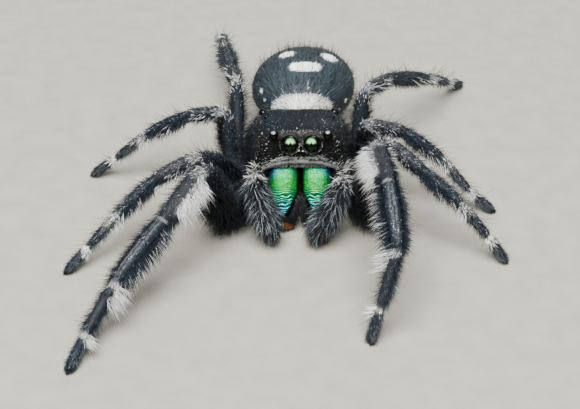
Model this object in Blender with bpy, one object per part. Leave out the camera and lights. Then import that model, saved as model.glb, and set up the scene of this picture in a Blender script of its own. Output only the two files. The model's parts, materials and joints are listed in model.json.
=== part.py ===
"""Regal jumping spider, an adult male at life size, standing still with its body raised at the front.

Lengths are in millimetres times MM, so every vertex is in metres, with +Z up. The spider looks along -Y,
and its own left side is at +X. The body frame is the level animal: its origin is the middle of the
carapace at the height of the hips. body_point() raises its front end and lifts it off the ground.
"""

import math
import random

import bmesh
import bpy
from mathutils import Matrix, Vector
from mathutils.bvhtree import BVHTree

MM = 0.001

# Clearances between neighbouring solids
JOINT_GAP = 0.3 * MM
SMALL_GAP = 0.15 * MM

# Stance of the body
BODY_PITCH = math.radians(18.0)
BODY_PLACE = (0.0, -0.5 * MM, 1.6 * MM)
BODY = Matrix.Translation(BODY_PLACE) @ Matrix.Rotation(-BODY_PITCH, 4, "X")

# Carapace and breastplate, in the body frame: y, half width, top, bottom, squareness of the lower half
CARAPACE_SQUARENESS = 3.3
MARGIN_SHARE = 0.27
CARAPACE_RINGS = (
    (-2.90, 1.42, 2.04, 0.98, 3.0),
    (-2.80, 1.76, 2.32, 0.85, 3.0),
    (-2.50, 1.94, 2.50, 0.80, 3.0),
    (-2.05, 2.03, 2.62, 0.78, 2.8),
    (-1.72, 2.09, 2.66, 0.64, 2.2),
    (-1.28, 2.15, 2.70, -0.12, 1.55),
    (-0.85, 2.21, 2.72, -0.56, 1.45),
    (0.00, 2.33, 2.60, -0.74, 1.45),
    (0.90, 2.40, 2.26, -0.74, 1.45),
    (1.70, 2.26, 1.76, -0.64, 1.45),
    (2.35, 1.84, 1.20, -0.38, 1.45),
    (2.78, 1.16, 0.80, -0.06, 1.45),
    (2.98, 0.55, 0.52, 0.16, 1.45),
)

# Abdomen, in world axes
ABDOMEN_FRONT = 2.42
ABDOMEN_LENGTH = 5.9
ABDOMEN_HALF_WIDTH = 2.38
ABDOMEN_TOP = 3.86
ABDOMEN_BOTTOM = 0.62
ABDOMEN_SAG = 0.5
ABDOMEN_RINGS = 13
# The abdomen's middle line lies this far to +X at its front and at its end.
ABDOMEN_SWAY = (0.30, 0.80)
# Spinnerets: distance from the middle, height above the end of the abdomen and length
SPINNERETS = ((0.27, 0.02, 0.72), (0.24, -0.40, 0.55))
SPINNERET_RADIUS = 0.26

# Eyes, in the body frame: x, y, z, outward direction, radius
EYES = {
    "eye_front_middle": (0.465, -3.4, 1.72, (0.06, -1.0, 0.05), 0.38),
    "eye_front_side": (1.29, -3.2, 2.14, (0.42, -1.0, 0.26), 0.235),
    "eye_small": (1.82, -1.75, 3.0, (0.64, -0.12, 0.76), 0.11),
    "eye_rear": (2.10, -0.85, 3.0, (0.76, 0.05, 0.65), 0.22),
}
EYE_PROUD = 0.62
LARGE_EYE_FACETS = (14, 8)
SMALL_EYE_FACETS = (10, 6)

# Chelicerae, in the body frame: how far down, half width, half depth
CHELICERA_TOP = (0.745, -2.30, 0.50)
CHELICERA_LEAN = math.radians(9.0)
CHELICERA_RINGS = (
    (0.00, 0.42, 0.40),
    (0.10, 0.55, 0.55),
    (0.45, 0.60, 0.66),
    (0.95, 0.60, 0.68),
    (1.45, 0.55, 0.60),
    (1.90, 0.45, 0.48),
    (2.20, 0.33, 0.36),
    (2.35, 0.20, 0.22),
)
# Fangs fold inwards under the jaws
FANG_RADIUS = 0.25
FANG_REACH = 0.68

# Feelers beside the jaws: root, knee and tip in world axes, for each side
PALP_POINTS = {
    "right": ((-1.70, -2.35, 2.24), (-2.12, -3.85, 3.10), (-1.92, -4.32, 2.38), (-1.34, -5.00, 0.72)),
    "left": ((1.70, -2.35, 2.24), (1.94, -3.80, 2.86), (1.66, -4.35, 2.12), (0.90, -5.05, 0.68)),
}

# Legs. Lengths of patella, tibia, metatarsus and tarsus for the four pairs
LEG_LENGTHS = {
    1: (3.01, 3.55, 2.63, 1.58),
    2: (2.30, 2.28, 1.95, 1.31),
    3: (1.83, 2.12, 2.07, 1.43),
    4: (1.96, 3.02, 2.90, 1.41),
}
# Heights of femur, patella, tibia, metatarsus and tarsus at their stoutest; the width is a share of it
LEG_HEIGHTS = {
    1: (1.46, 1.08, 0.98, 0.70, 0.56),
    2: (1.10, 0.86, 0.76, 0.60, 0.53),
    3: (1.04, 0.80, 0.70, 0.57, 0.52),
    4: (1.04, 0.80, 0.70, 0.58, 0.52),
}
LEG_WIDTH_SHARE = (0.76, 0.86, 0.90, 0.94, 0.98)
# Leg roots at the breastplate and hips beside the carapace, in the body frame
LEG_ROOTS = {1: (1.84, -1.10, -0.20), 2: (1.92, -0.50, -0.70), 3: (2.00, 0.52, -0.82), 4: (1.96, 1.50, -0.88)}
LEG_HIPS = {1: (3.30, -2.81, -1.54), 2: (3.02, -0.76, -0.20), 3: (3.14, 0.66, -0.20), 4: (2.86, 2.00, -0.26)}
LEG_ROOT_RADIUS = 0.33
HIP_RADIUS = 0.40
SOLE_RADIUS = 0.24
SOLE_PRESS = 0.09
# Knee in world axes, then heading and climb of the four lengths beyond it, in degrees:
# heading 0 is straight out to the side and -90 is forward
LEG_POSES = {
    "right_1": ((-4.38, -5.2, 4.4), (-52, -52, -60, -67), (-23, -22, -24, -25)),
    "right_2": ((-4.68, -2.75, 3.46), (-26, -40, -39, -38), (-16, -24, -31, -36)),
    "right_3": ((-3.42, 0.6, 3.72), (1, 3, 2, -1), (-7, -29, -43, -43)),
    "right_4": ((-2.82, 4.7, 2.76), (80, 85, 87, 88), (-7, -13, -21, -26)),
    "left_1": ((3.28, -4.15, 4.95), (-84, -87, -127, -135), (0, -16, -64, -70)),
    "left_2": ((4.0, -2.45, 3.9), (-52, -33, -27, -26), (-7, -28, -44, -51)),
    "left_3": ((3.17, -0.38, 3.58), (-21, -22, -18, -17), (1, -29, -48, -41)),
    "left_4": ((3.22, 2.3, 3.76), (42, 48, 55, 51), (-2, -24, -32, -34)),
}
# Fringes of flat locks on the legs: limb, length within it, first and last place along it, count,
# angle from the top towards the front, spread of that angle, reach and lean towards the foot
FRONT_FRINGES = (
    ("femur", 1, 0.22, 0.56, 5, 178, 24, 0.80, 34),
    ("shank", 0, 0.14, 0.92, 8, 98, 26, 1.05, 22),
    ("shank", 0, 0.40, 0.92, 4, 190, 16, 0.80, 30),
    ("shank", 1, 0.08, 0.66, 7, 144, 14, 0.92, 32),
    ("shank", 1, 0.10, 0.66, 7, 214, 14, 0.88, 32),
    ("foot", 0, 0.16, 0.46, 4, 108, 24, 0.85, 36),
    ("foot", 0, 0.56, 0.86, 2, 214, 22, 0.55, 42),
    ("foot", 1, 0.10, 0.50, 3, 104, 26, 0.60, 42),
)
OTHER_FRINGES = (
    ("femur", 1, 0.26, 0.46, 2, 180, 26, 0.55, 34),
    ("shank", 0, 0.52, 0.90, 3, 140, 30, 0.62, 24),
    ("shank", 1, 0.08, 0.62, 5, 184, 44, 0.62, 34),
    ("foot", 0, 0.22, 0.64, 3, 140, 44, 0.50, 40),
    ("foot", 1, 0.12, 0.45, 2, 104, 46, 0.44, 46),
)
# The same for the club of a feeler, whose front is its top
PALP_FRINGES = (
    ("forearm", 0, 0.35, 0.95, 5, -66, 52, 0.70, 52),
    ("forearm", 1, 0.08, 0.82, 10, -50, 84, 0.80, 56),
)
LOCK_WIDTH = 0.58
LOCK_THICKNESS = 0.50
LOCK_BEND = 0.22
LOCK_FLOOR = 0.10
LOCK_SOLVER = "EXACT"
# Overlapping locks of the abdomen's coat: rows, locks in a row, their root's depth and their reach
COAT_ROWS = 6
COAT_LOCKS = 6
COAT_SINK = 0.42
COAT_REACH = 1.05
COAT_LIFT = math.radians(24.0)
CHEEK_LOCKS = 4
CHEEK_SINK = 0.34

LEG_SIDES = 10
BODY_SIDES = 22

# Seeds of the varied places and lengths
COAT_SEED = 11
PALP_SEED = 23
LEG_SEED = 41

# Finishes: colour, roughness
BLACK_COAT = ((0.022, 0.025, 0.030), 0.55)
LEG_COAT = ((0.030, 0.035, 0.045), 0.50)
GREEN_JAW = ((0.010, 0.420, 0.230), 0.25)
EYE_LENS = ((0.004, 0.006, 0.006), 0.05)
DARK_HORN = ((0.060, 0.022, 0.012), 0.30)


def clear_scene():
    for old in list(bpy.data.objects):
        bpy.data.objects.remove(old)


def new_collection(name):
    collection = bpy.data.collections.new(name)
    bpy.context.scene.collection.children.link(collection)
    return collection


def finish_material(name, finish):
    colour, roughness = finish
    material = bpy.data.materials.new(name)
    material.use_nodes = True
    shader = material.node_tree.nodes["Principled BSDF"]
    shader.inputs["Base Color"].default_value = (*colour, 1.0)
    shader.inputs["Roughness"].default_value = roughness
    shader.inputs["Metallic"].default_value = 0.0
    return material


def millimetres(point):
    return Vector(point) * MM


def body_point(point):
    """A point of the level animal, in millimetres, where the raised body carries it."""
    return BODY @ millimetres(point)


def body_direction(direction):
    return (BODY.to_3x3() @ Vector(direction)).normalized()


def mesh_object(name, bm, collection, material=None):
    mesh = bpy.data.meshes.new(name)
    bm.to_mesh(mesh)
    bm.free()
    obj = bpy.data.objects.new(name, mesh)
    collection.objects.link(obj)
    if material:
        mesh.materials.append(material)
        mesh.shade_smooth()
        mesh.set_sharp_from_angle(angle=math.radians(50))
    return obj


def ring_points(centre, across, up, half_width, top, bottom, sides, squareness=2.0, below=None):
    """A closed ring of points: an ellipse at squareness 2, nearer a box above that and a diamond under it."""
    points = []
    for i in range(sides):
        turn = 2.0 * math.pi * i / sides
        cosine = math.cos(turn)
        sine = math.sin(turn)
        power = 2.0 / (below if below and sine < 0 else squareness)
        x = math.copysign(abs(cosine) ** power, cosine)
        z = math.copysign(abs(sine) ** power, sine)
        rise = top if z > 0 else bottom
        points.append(centre + across * half_width * x + up * rise * z)
    return points


def loft(rings):
    """A closed skin through rings that have the same number of points."""
    bm = bmesh.new()
    loops = [[bm.verts.new(point) for point in ring] for ring in rings]
    sides = len(loops[0])
    for first, second in zip(loops, loops[1:]):
        for i in range(sides):
            j = (i + 1) % sides
            bm.faces.new((first[i], first[j], second[j], second[i]))
    bm.faces.new(list(reversed(loops[0])))
    bm.faces.new(loops[-1])
    bmesh.ops.recalc_face_normals(bm, faces=bm.faces)
    return bm


def lock_mesh(root, heading, flat, bend, length, width, thickness):
    """A flat lock of hair with four sides: full at the root, narrowing in a curve to a point."""
    bm = bmesh.new()
    loops = []
    for share, size in ((0.0, 1.0), (0.45, 0.92), (0.78, 0.58)):
        tangent = (heading * length + bend * 2.0 * share).normalized()
        across = (flat - tangent * flat.dot(tangent)).normalized()
        normal = across.cross(tangent)
        centre = root + heading * length * share + bend * share**2
        corners = (across * width, normal * thickness, -across * width, -normal * thickness)
        loops.append([bm.verts.new(centre + 0.5 * size * corner) for corner in corners])
    tip = bm.verts.new(root + heading * length + bend)
    for first, second in zip(loops, loops[1:]):
        for i in range(4):
            j = (i + 1) % 4
            bm.faces.new((first[i], first[j], second[j], second[i]))
    for i in range(4):
        bm.faces.new((loops[-1][i], loops[-1][(i + 1) % 4], tip))
    bm.faces.new(list(reversed(loops[0])))
    bmesh.ops.recalc_face_normals(bm, faces=bm.faces)
    return bm


def largest_surface(obj):
    """Keeps only the largest closed surface of a joined node."""
    bm = bmesh.new()
    bm.from_mesh(obj.data)
    unseen = set(bm.verts)
    groups = []
    while unseen:
        group = [unseen.pop()]
        for vertex in group:
            for edge in vertex.link_edges:
                other = edge.other_vert(vertex)
                if other in unseen:
                    unseen.remove(other)
                    group.append(other)
        groups.append(group)
    groups.sort(key=len)
    dropped = [vertex for group in groups[:-1] for vertex in group]
    bmesh.ops.delete(bm, geom=dropped, context="VERTS")
    bm.to_mesh(obj.data)
    bm.free()
    obj.data.shade_smooth()
    obj.data.set_sharp_from_angle(angle=math.radians(50))


def grow_locks(obj, locks):
    """Joins locks, which are closed meshes rooted inside a node, to that node."""
    holder = new_collection(obj.name + "_locks")
    for i, bm in enumerate(locks):
        mesh_object(f"{obj.name}_lock_{i}", bm, holder)
    union = obj.modifiers.new("locks", "BOOLEAN")
    union.operation = "UNION"
    union.operand_type = "COLLECTION"
    union.collection = holder
    union.solver = LOCK_SOLVER
    bpy.context.view_layer.update()
    graph = bpy.context.evaluated_depsgraph_get()
    joined = bpy.data.meshes.new_from_object(obj.evaluated_get(graph))
    obj.modifiers.remove(union)
    obj.data = joined
    for piece in list(holder.objects):
        bpy.data.objects.remove(piece)
    bpy.data.collections.remove(holder)
    largest_surface(obj)


def cephalothorax_mesh():
    """Carapace above and breastplate below, boxy at the head and sloping down behind the eyes."""
    rings = []
    for y, half_width, top, bottom, below in CARAPACE_RINGS:
        middle = bottom + MARGIN_SHARE * (top - bottom)
        rings.append(
            ring_points(
                body_point((0, y, middle)),
                Vector((1, 0, 0)),
                body_direction((0, 0, 1)),
                half_width * MM,
                (top - middle) * MM,
                (middle - bottom) * MM,
                BODY_SIDES,
                CARAPACE_SQUARENESS,
                below,
            )
        )
    return loft(rings)


def abdomen_centre(share, height):
    """A point of the abdomen's middle line, at a share of its length and a height over the floor."""
    sway = ABDOMEN_SWAY[0] + (ABDOMEN_SWAY[1] - ABDOMEN_SWAY[0]) * share
    return millimetres((sway, ABDOMEN_FRONT + ABDOMEN_LENGTH * share, height))


def abdomen_mesh():
    """An oval that is widest a little before its middle and narrows to the spinnerets."""
    middle = 0.5 * (ABDOMEN_TOP + ABDOMEN_BOTTOM)
    rings = []
    for i in range(ABDOMEN_RINGS):
        share = 0.012 + 0.976 * 0.5 * (1.0 - math.cos(math.pi * i / (ABDOMEN_RINGS - 1)))
        swell = math.sin(math.pi * share**0.86) ** 0.66
        drop = ABDOMEN_SAG * share**3
        rings.append(
            ring_points(
                abdomen_centre(share, middle - drop),
                Vector((1, 0, 0)),
                Vector((0, 0, 1)),
                ABDOMEN_HALF_WIDTH * swell * MM,
                (ABDOMEN_TOP - middle + 0.3 * drop) * swell * MM,
                (middle - ABDOMEN_BOTTOM - 0.7 * drop) * swell * MM,
                BODY_SIDES,
                2.15,
            )
        )
    return loft(rings)


def axis_frame(direction):
    """Across and up for a length of leg, with up as near to vertical as the length allows."""
    across = direction.cross(Vector((0, 0, 1))).normalized()
    up = across.cross(direction).normalized()
    return across, up


def chelicera_mesh(side):
    """A stout jaw base, bulging forward near its top and narrowing to the fang."""
    down = body_direction((0, -math.sin(CHELICERA_LEAN), -math.cos(CHELICERA_LEAN)))
    forward = Vector((1, 0, 0)).cross(down).normalized()
    if forward.y > 0:
        forward = -forward
    x, y, z = CHELICERA_TOP
    top = body_point((side * x, y, z))
    rings = []
    for reach, half_width, half_depth in CHELICERA_RINGS:
        rings.append(
            ring_points(
                top + down * reach * MM,
                Vector((1, 0, 0)),
                forward,
                half_width * MM,
                half_depth * MM,
                half_depth * MM,
                16,
                2.3,
            )
        )
    return loft(rings), top, down, forward


def fang_mesh(side, tip, down, forward):
    """A curved horn that lies under the end of the jaw and points towards the middle."""
    inward = Vector((-side, 0, 0))
    root = tip + down * (SMALL_GAP + FANG_RADIUS * MM) - inward * 0.12 * MM
    rings = []
    steps = 6
    for i in range(steps):
        share = i / (steps - 1)
        turn = math.radians(12) + share * math.radians(30)
        centre = root + inward * FANG_REACH * MM * share
        centre -= forward * 0.16 * MM * share**2
        centre += down * 0.05 * MM * math.sin(math.pi * share)
        heading = (inward * math.cos(turn) - forward * math.sin(turn)).normalized()
        across = heading.cross(down).normalized()
        radius = FANG_RADIUS * MM * (1.0 - 0.84 * share**1.2)
        rings.append(ring_points(centre, across, down, radius, radius, radius, 8))
    return loft(rings)


def eye_object(name, spec, side, seat, collection, material):
    """A lens: a ball cut flat at the back, standing SMALL_GAP off the carapace."""
    x, y, z, outward, radius = spec
    facing = body_direction((side * outward[0], outward[1], outward[2]))
    start = body_point((side * x, y, z))
    hit = seat.ray_cast(start + facing * MM, -facing)[0]
    bm = bmesh.new()
    segments, rings = LARGE_EYE_FACETS if radius > 0.3 else SMALL_EYE_FACETS
    bmesh.ops.create_uvsphere(bm, u_segments=segments, v_segments=rings, radius=radius * MM)
    cut = radius * MM * (1.0 - 2.0 * EYE_PROUD)
    geometry = bm.verts[:] + bm.edges[:] + bm.faces[:]
    cut_result = bmesh.ops.bisect_plane(
        bm, geom=geometry, plane_co=(0, 0, cut), plane_no=(0, 0, 1), clear_inner=True, dist=1e-7
    )
    rim = [item for item in cut_result["geom_cut"] if isinstance(item, bmesh.types.BMEdge)]
    bmesh.ops.contextual_create(bm, geom=rim)
    bmesh.ops.recalc_face_normals(bm, faces=bm.faces)
    obj = mesh_object(name, bm, collection, material)
    obj.rotation_mode = "QUATERNION"
    obj.rotation_quaternion = Vector((0, 0, 1)).rotation_difference(facing)
    obj.location = hit + facing * (SMALL_GAP - cut)
    return obj


class Limb:
    """A run of lengths with a round or oval section, from one cut plane to the next."""

    def __init__(self, points, headings, stations, sides=LEG_SIDES):
        self.points = points
        self.headings = headings
        self.stations = stations
        self.sides = sides

    def heading_at(self, length, share):
        heading = self.headings[length]
        if share < 0.25 and length > 0:
            other = self.headings[length - 1]
            heading = other.lerp(heading, 0.5 + 2.0 * share)
        elif share > 0.75 and length < len(self.headings) - 1:
            other = self.headings[length + 1]
            heading = heading.lerp(other, 2.0 * (share - 0.75))
        return heading.normalized()

    def depth_at(self, length, share):
        """The smaller half thickness between the stations next to a place along the limb."""
        near = sorted(self.stations, key=lambda s: abs((s[0] - length) + (s[1] - share)))[0:2]
        return min(min(station[2], station[3]) for station in near)

    def centre_at(self, length, share):
        return self.points[length].lerp(self.points[length + 1], share)

    def ring(self, length, share, half_width, half_height, heading=None):
        heading = heading or self.heading_at(length, share)
        across, up = axis_frame(heading)
        return ring_points(
            self.centre_at(length, share), across, up, half_width, half_height, half_height, self.sides
        )

    def mesh(self):
        return loft([self.ring(*station) for station in self.stations])


def heading_vector(side, heading, climb):
    a = math.radians(heading)
    e = math.radians(climb)
    return Vector((side * math.cos(a) * math.cos(e), math.sin(a) * math.cos(e), math.sin(e)))


def leg_chain(leg):
    """The seven joint points of a leg, from its root to its tip, and the six headings between them."""
    side = -1 if leg.startswith("right") else 1
    pair = int(leg[-1])
    knee, headings, climbs = LEG_POSES[leg]
    points = []
    for x, y, z in (LEG_ROOTS[pair], LEG_HIPS[pair]):
        points.append(body_point((side * x, y, z)))
    points.append(millimetres(knee))
    for length, heading, climb in zip(LEG_LENGTHS[pair], headings, climbs):
        points.append(points[-1] + heading_vector(side, heading, climb) * length * MM)
    points[6].z = SOLE_RADIUS * MM
    return points, [(b - a).normalized() for a, b in zip(points, points[1:])]


def cut_ends(points, headings, gap_at_start, gap_at_end, before=None, after=None):
    """Moves the end points in by half a joint gap and gives the headings of the two cut planes."""
    points = list(points)
    start = headings[0]
    end = headings[-1]
    if before is not None:
        start = (before + start).normalized()
    if after is not None:
        end = (end + after).normalized()
    points[0] = points[0] + headings[0] * gap_at_start
    points[-1] = points[-1] - headings[-1] * gap_at_end
    return points, start, end


def leg_limbs(leg):
    """Femur with its hip, shank of patella and tibia, and foot of metatarsus and tarsus."""
    pair = int(leg[-1])
    points, headings = leg_chain(leg)
    half = [0.5 * height * MM for height in LEG_HEIGHTS[pair]]
    wide = [h * share for h, share in zip(half, LEG_WIDTH_SHARE)]
    joint = 0.5 * JOINT_GAP

    ends, start, end = cut_ends(points[0:3], headings[0:2], 0.0, joint, None, headings[2])
    root = LEG_ROOT_RADIUS * MM
    hip = HIP_RADIUS * MM
    femur = Limb(
        ends,
        headings[0:2],
        (
            (0, 0.00, root * 0.86, root * 0.86, start),
            (0, 0.35, root, root),
            (1, 0.02, hip * 0.92, hip * 0.96),
            (1, 0.22, wide[0] * 0.90, half[0] * 0.84),
            (1, 0.45, wide[0], half[0]),
            (1, 0.68, wide[0] * 0.96, half[0] * 0.95),
            (1, 0.86, wide[0] * 0.88, half[0] * 0.80),
            (1, 1.00, wide[0] * 0.78, half[0] * 0.66, end),
        ),
    )
    ends, start, end = cut_ends(points[2:5], headings[2:4], joint, joint, headings[1], headings[4])
    shank = Limb(
        ends,
        headings[2:4],
        (
            (0, 0.00, wide[1] * 0.80, half[1] * 0.76, start),
            (0, 0.22, wide[1], half[1] * 0.96),
            (0, 0.60, wide[1], half[1]),
            (0, 0.90, wide[1] * 0.92, half[1] * 0.92),
            (1, 0.06, wide[2] * 0.88, half[2] * 0.88),
            (1, 0.35, wide[2], half[2]),
            (1, 0.70, wide[2] * 0.94, half[2] * 0.94),
            (1, 1.00, wide[2] * 0.76, half[2] * 0.76, end),
        ),
    )
    ends, start, end = cut_ends(points[4:7], headings[4:6], joint, 0.0, headings[3], None)
    foot = Limb(
        ends,
        headings[4:6],
        (
            (0, 0.00, wide[3] * 0.96, half[3] * 0.96, start),
            (0, 0.40, wide[3], half[3]),
            (0, 0.88, wide[3] * 0.92, half[3] * 0.92),
            (1, 0.15, wide[4] * 0.96, half[4] * 0.96),
            (1, 0.62, wide[4], half[4]),
            (1, 0.92, wide[4] * 1.02, half[4] * 1.04),
            (1, 1.10, wide[4] * 0.78, half[4] * 0.80),
        ),
    )
    return {"femur": femur, "shank": shank, "foot": foot}


def palp_limbs(side):
    """The feeler's arm up to its knee, and its forearm with the club at the end."""
    root, knee, wrist, tip = (millimetres(point) for point in PALP_POINTS[side])
    upper = (knee - root).normalized()
    lower = (wrist - knee).normalized()
    club = (tip - wrist).normalized()
    joint = 0.5 * JOINT_GAP
    ends, start, end = cut_ends([root, knee], [upper], 0.0, joint, None, lower)
    arm = Limb(
        ends,
        [upper],
        (
            (0, 0.00, 0.25 * MM, 0.25 * MM, start),
            (0, 0.30, 0.27 * MM, 0.30 * MM),
            (0, 0.70, 0.30 * MM, 0.33 * MM),
            (0, 1.00, 0.28 * MM, 0.28 * MM, end),
        ),
    )
    ends, start, end = cut_ends([knee, wrist, tip], [lower, club], joint, 0.0, upper, None)
    forearm = Limb(
        ends,
        [lower, club],
        (
            (0, 0.00, 0.30 * MM, 0.30 * MM, start),
            (0, 0.50, 0.34 * MM, 0.34 * MM),
            (1, 0.05, 0.36 * MM, 0.38 * MM),
            (1, 0.40, 0.44 * MM, 0.46 * MM),
            (1, 0.75, 0.38 * MM, 0.40 * MM),
            (1, 1.00, 0.20 * MM, 0.22 * MM),
        ),
    )
    return {"arm": arm, "forearm": forearm}


def fringe_locks(limb, fringes, piece, side, rng):
    """Flat locks in rows along a limb, each rooted near the limb's middle line."""
    locks = []
    for name, length, first, last, count, angle, spread, reach, lean in fringes:
        if name != piece:
            continue
        for i in range(count):
            share = first + (last - first) * (i + 0.5 * rng.random()) / max(count - 1, 1)
            heading = limb.heading_at(length, share)
            across, up = axis_frame(heading)
            turn = math.radians(angle + spread * rng.uniform(-1.0, 1.0))
            radial = up * math.cos(turn) + across * side * math.sin(turn)
            tilt = math.radians(lean + rng.uniform(-6.0, 6.0))
            grow = (radial * math.cos(tilt) + heading * math.sin(tilt)).normalized()
            depth = limb.depth_at(length, share)
            root = limb.centre_at(length, share) + radial * depth * 0.15
            full = depth * 0.85 / math.cos(tilt) + reach * MM * rng.uniform(0.85, 1.12)
            bend = heading * full * LOCK_BEND
            while (root + grow * full + bend).z < LOCK_FLOOR * MM:
                full *= 0.9
                bend *= 0.8
            width = min(LOCK_WIDTH * MM, depth * 1.55)
            thickness = min(LOCK_THICKNESS * MM, depth * 1.45)
            locks.append(lock_mesh(root, grow, heading, bend, full, width, thickness))
    return locks


def coat_locks(seat, rng):
    """Locks that lie backwards over the abdomen in staggered rows and overlap towards its end."""
    locks = []
    middle = 0.5 * (ABDOMEN_TOP + ABDOMEN_BOTTOM)
    for row in range(COAT_ROWS):
        share = 0.16 + 0.70 * row / (COAT_ROWS - 1)
        for i in range(COAT_LOCKS):
            turn = math.radians(-118 + 236 * (i + 0.5 * (row % 2) + 0.25 * rng.random()) / (COAT_LOCKS - 0.5))
            radial = Vector((math.sin(turn), 0, math.cos(turn)))
            centre = abdomen_centre(share, middle - 0.3 * share**3)
            hit, normal = seat.ray_cast(centre + radial * 4 * MM, -radial)[0:2]
            back = Vector((0, 1, 0))
            back = (back - normal * back.dot(normal)).normalized()
            grow = (back * math.cos(COAT_LIFT) + normal * math.sin(COAT_LIFT)).normalized()
            root = hit - normal * COAT_SINK * MM
            sunk = 0.72 * COAT_SINK * MM / math.sin(COAT_LIFT)
            full = sunk + COAT_REACH * MM * rng.uniform(0.7, 1.0)
            flat = normal.cross(back)
            bend = -normal * 0.12 * MM
            width = 1.2 * LOCK_WIDTH * MM
            locks.append(lock_mesh(root, grow, flat, bend, full, width, LOCK_THICKNESS * MM))
    return locks


def spinneret_meshes():
    """Short cones in pairs at the end of the abdomen, pointing back and a little down."""
    middle = 0.5 * (ABDOMEN_TOP + ABDOMEN_BOTTOM)
    back = Vector((0, 1, -0.35)).normalized()
    across, up = axis_frame(back)
    cones = []
    for x, rise, length in SPINNERETS:
        for side in (-1, 1):
            root = abdomen_centre(0.93, middle + rise - ABDOMEN_SAG) + Vector((side * x * MM, 0, 0))
            rings = []
            for share, size in ((0.0, 1.0), (0.75, 0.9), (1.0, 0.45)):
                radius = SPINNERET_RADIUS * MM * size
                reach = (0.45 + length) * MM * share
                rings.append(ring_points(root + back * reach, across, up, radius, radius, radius, 8))
            cones.append(loft(rings))
    return cones


def cheek_locks(seat, rng):
    """Pale locks that curve down from the cheeks beside the jaws."""
    locks = []
    for side in (-1, 1):
        for i in range(CHEEK_LOCKS):
            share = i / (CHEEK_LOCKS - 1)
            outward = body_direction((side, -0.5 + 0.5 * share, 0.0))
            start = body_point((side * 1.2, -2.3 + 0.7 * share, 1.62))
            hit, normal = seat.ray_cast(start + outward * 3 * MM, -outward)[0:2]
            down = body_direction((side * 0.10, -0.25, -1.0))
            grow = (down + normal * 0.42).normalized()
            root = hit - normal * CHEEK_SINK * MM
            full = rng.uniform(0.80, 0.95) * MM
            flat = normal.cross(down).normalized()
            bend = -normal * 0.1 * MM
            locks.append(lock_mesh(root, grow, flat, bend, full, LOCK_WIDTH * MM, LOCK_THICKNESS * MM))
    return locks


def press_sole(bm):
    """Flattens the lowest part of the foot on the ground, so that it stands on a small flat."""
    for vertex in bm.verts:
        if vertex.co.z < SOLE_PRESS * MM:
            vertex.co.z = 0.0


def add_body(parts):
    coat = finish_material("black_coat", BLACK_COAT)
    bm = cephalothorax_mesh()
    seat = BVHTree.FromBMesh(bm)
    rng = random.Random(COAT_SEED)
    grow_locks(mesh_object("cephalothorax", bm, parts, coat), cheek_locks(seat, rng))
    bm = abdomen_mesh()
    rear = BVHTree.FromBMesh(bm)
    abdomen = mesh_object("abdomen", bm, parts, finish_material("abdomen_coat", BLACK_COAT))
    grow_locks(abdomen, coat_locks(rear, rng) + spinneret_meshes())
    lens = finish_material("eye_lens", EYE_LENS)
    for name, spec in EYES.items():
        for side, label in ((-1, "right"), (1, "left")):
            eye_object(f"{name}_{label}", spec, side, seat, parts, lens)


def add_jaws(parts):
    green = finish_material("iridescent_jaw", GREEN_JAW)
    horn = finish_material("dark_horn", DARK_HORN)
    for side, label in ((-1, "right"), (1, "left")):
        bm, top, down, forward = chelicera_mesh(side)
        mesh_object(f"chelicera_{label}", bm, parts, green)
        tip = top + down * CHELICERA_RINGS[-1][0] * MM
        mesh_object(f"fang_{label}", fang_mesh(side, tip, down, forward), parts, horn)


def add_palps(parts):
    coat = finish_material("palp_coat", LEG_COAT)
    for side, sign in (("right", -1), ("left", 1)):
        rng = random.Random(PALP_SEED)
        for piece, limb in palp_limbs(side).items():
            obj = mesh_object(f"palp_{side}_{piece}", limb.mesh(), parts, coat)
            locks = fringe_locks(limb, PALP_FRINGES, piece, sign, rng)
            if locks:
                grow_locks(obj, locks)


def add_legs(parts):
    coat = finish_material("leg_coat", LEG_COAT)
    for number, leg in enumerate(LEG_POSES):
        sign = -1 if leg.startswith("right") else 1
        fringes = FRONT_FRINGES if leg.endswith("1") else OTHER_FRINGES
        rng = random.Random(LEG_SEED + number)
        for piece, limb in leg_limbs(leg).items():
            bm = limb.mesh()
            if piece == "foot":
                press_sole(bm)
            obj = mesh_object(f"leg_{leg}_{piece}", bm, parts, coat)
            grow_locks(obj, fringe_locks(limb, fringes, piece, sign, rng))


def stand_on_centre(parts):
    """Hangs every piece on one empty, moved so that the middle of the whole model's box is at the origin."""
    bpy.context.view_layer.update()
    corners = [obj.matrix_world @ Vector(corner) for obj in parts.objects for corner in obj.bound_box]
    low_x, high_x = min(c.x for c in corners), max(c.x for c in corners)
    low_y, high_y = min(c.y for c in corners), max(c.y for c in corners)
    carrier = bpy.data.objects.new("spider_centre", None)
    for obj in list(parts.objects):
        obj.parent = carrier
    parts.objects.link(carrier)
    carrier.location = (-0.5 * (low_x + high_x), -0.5 * (low_y + high_y), 0.0)
    print("centre moved by", tuple(round(value / MM, 3) for value in carrier.location), "mm")


def main():
    clear_scene()
    parts = new_collection("regal_jumping_spider")
    add_body(parts)
    add_jaws(parts)
    add_palps(parts)
    add_legs(parts)
    stand_on_centre(parts)


main()
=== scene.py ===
# %% [markdown]
# # A regal jumping spider at life size
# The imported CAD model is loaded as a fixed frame. Everything that the eye sees is then built over it, in the
# same place: one continuous skin, the jaws, the fangs and the eight eyes as separate hard parts, and a coat
# of small solid hairs. Lengths below are in millimetres, and each piece is brought to metres at its end.

# %% Load the frame and keep its box
import json
import math

import bmesh
import bpy
import numpy as np
from mathutils import Matrix, Vector, kdtree

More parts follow.
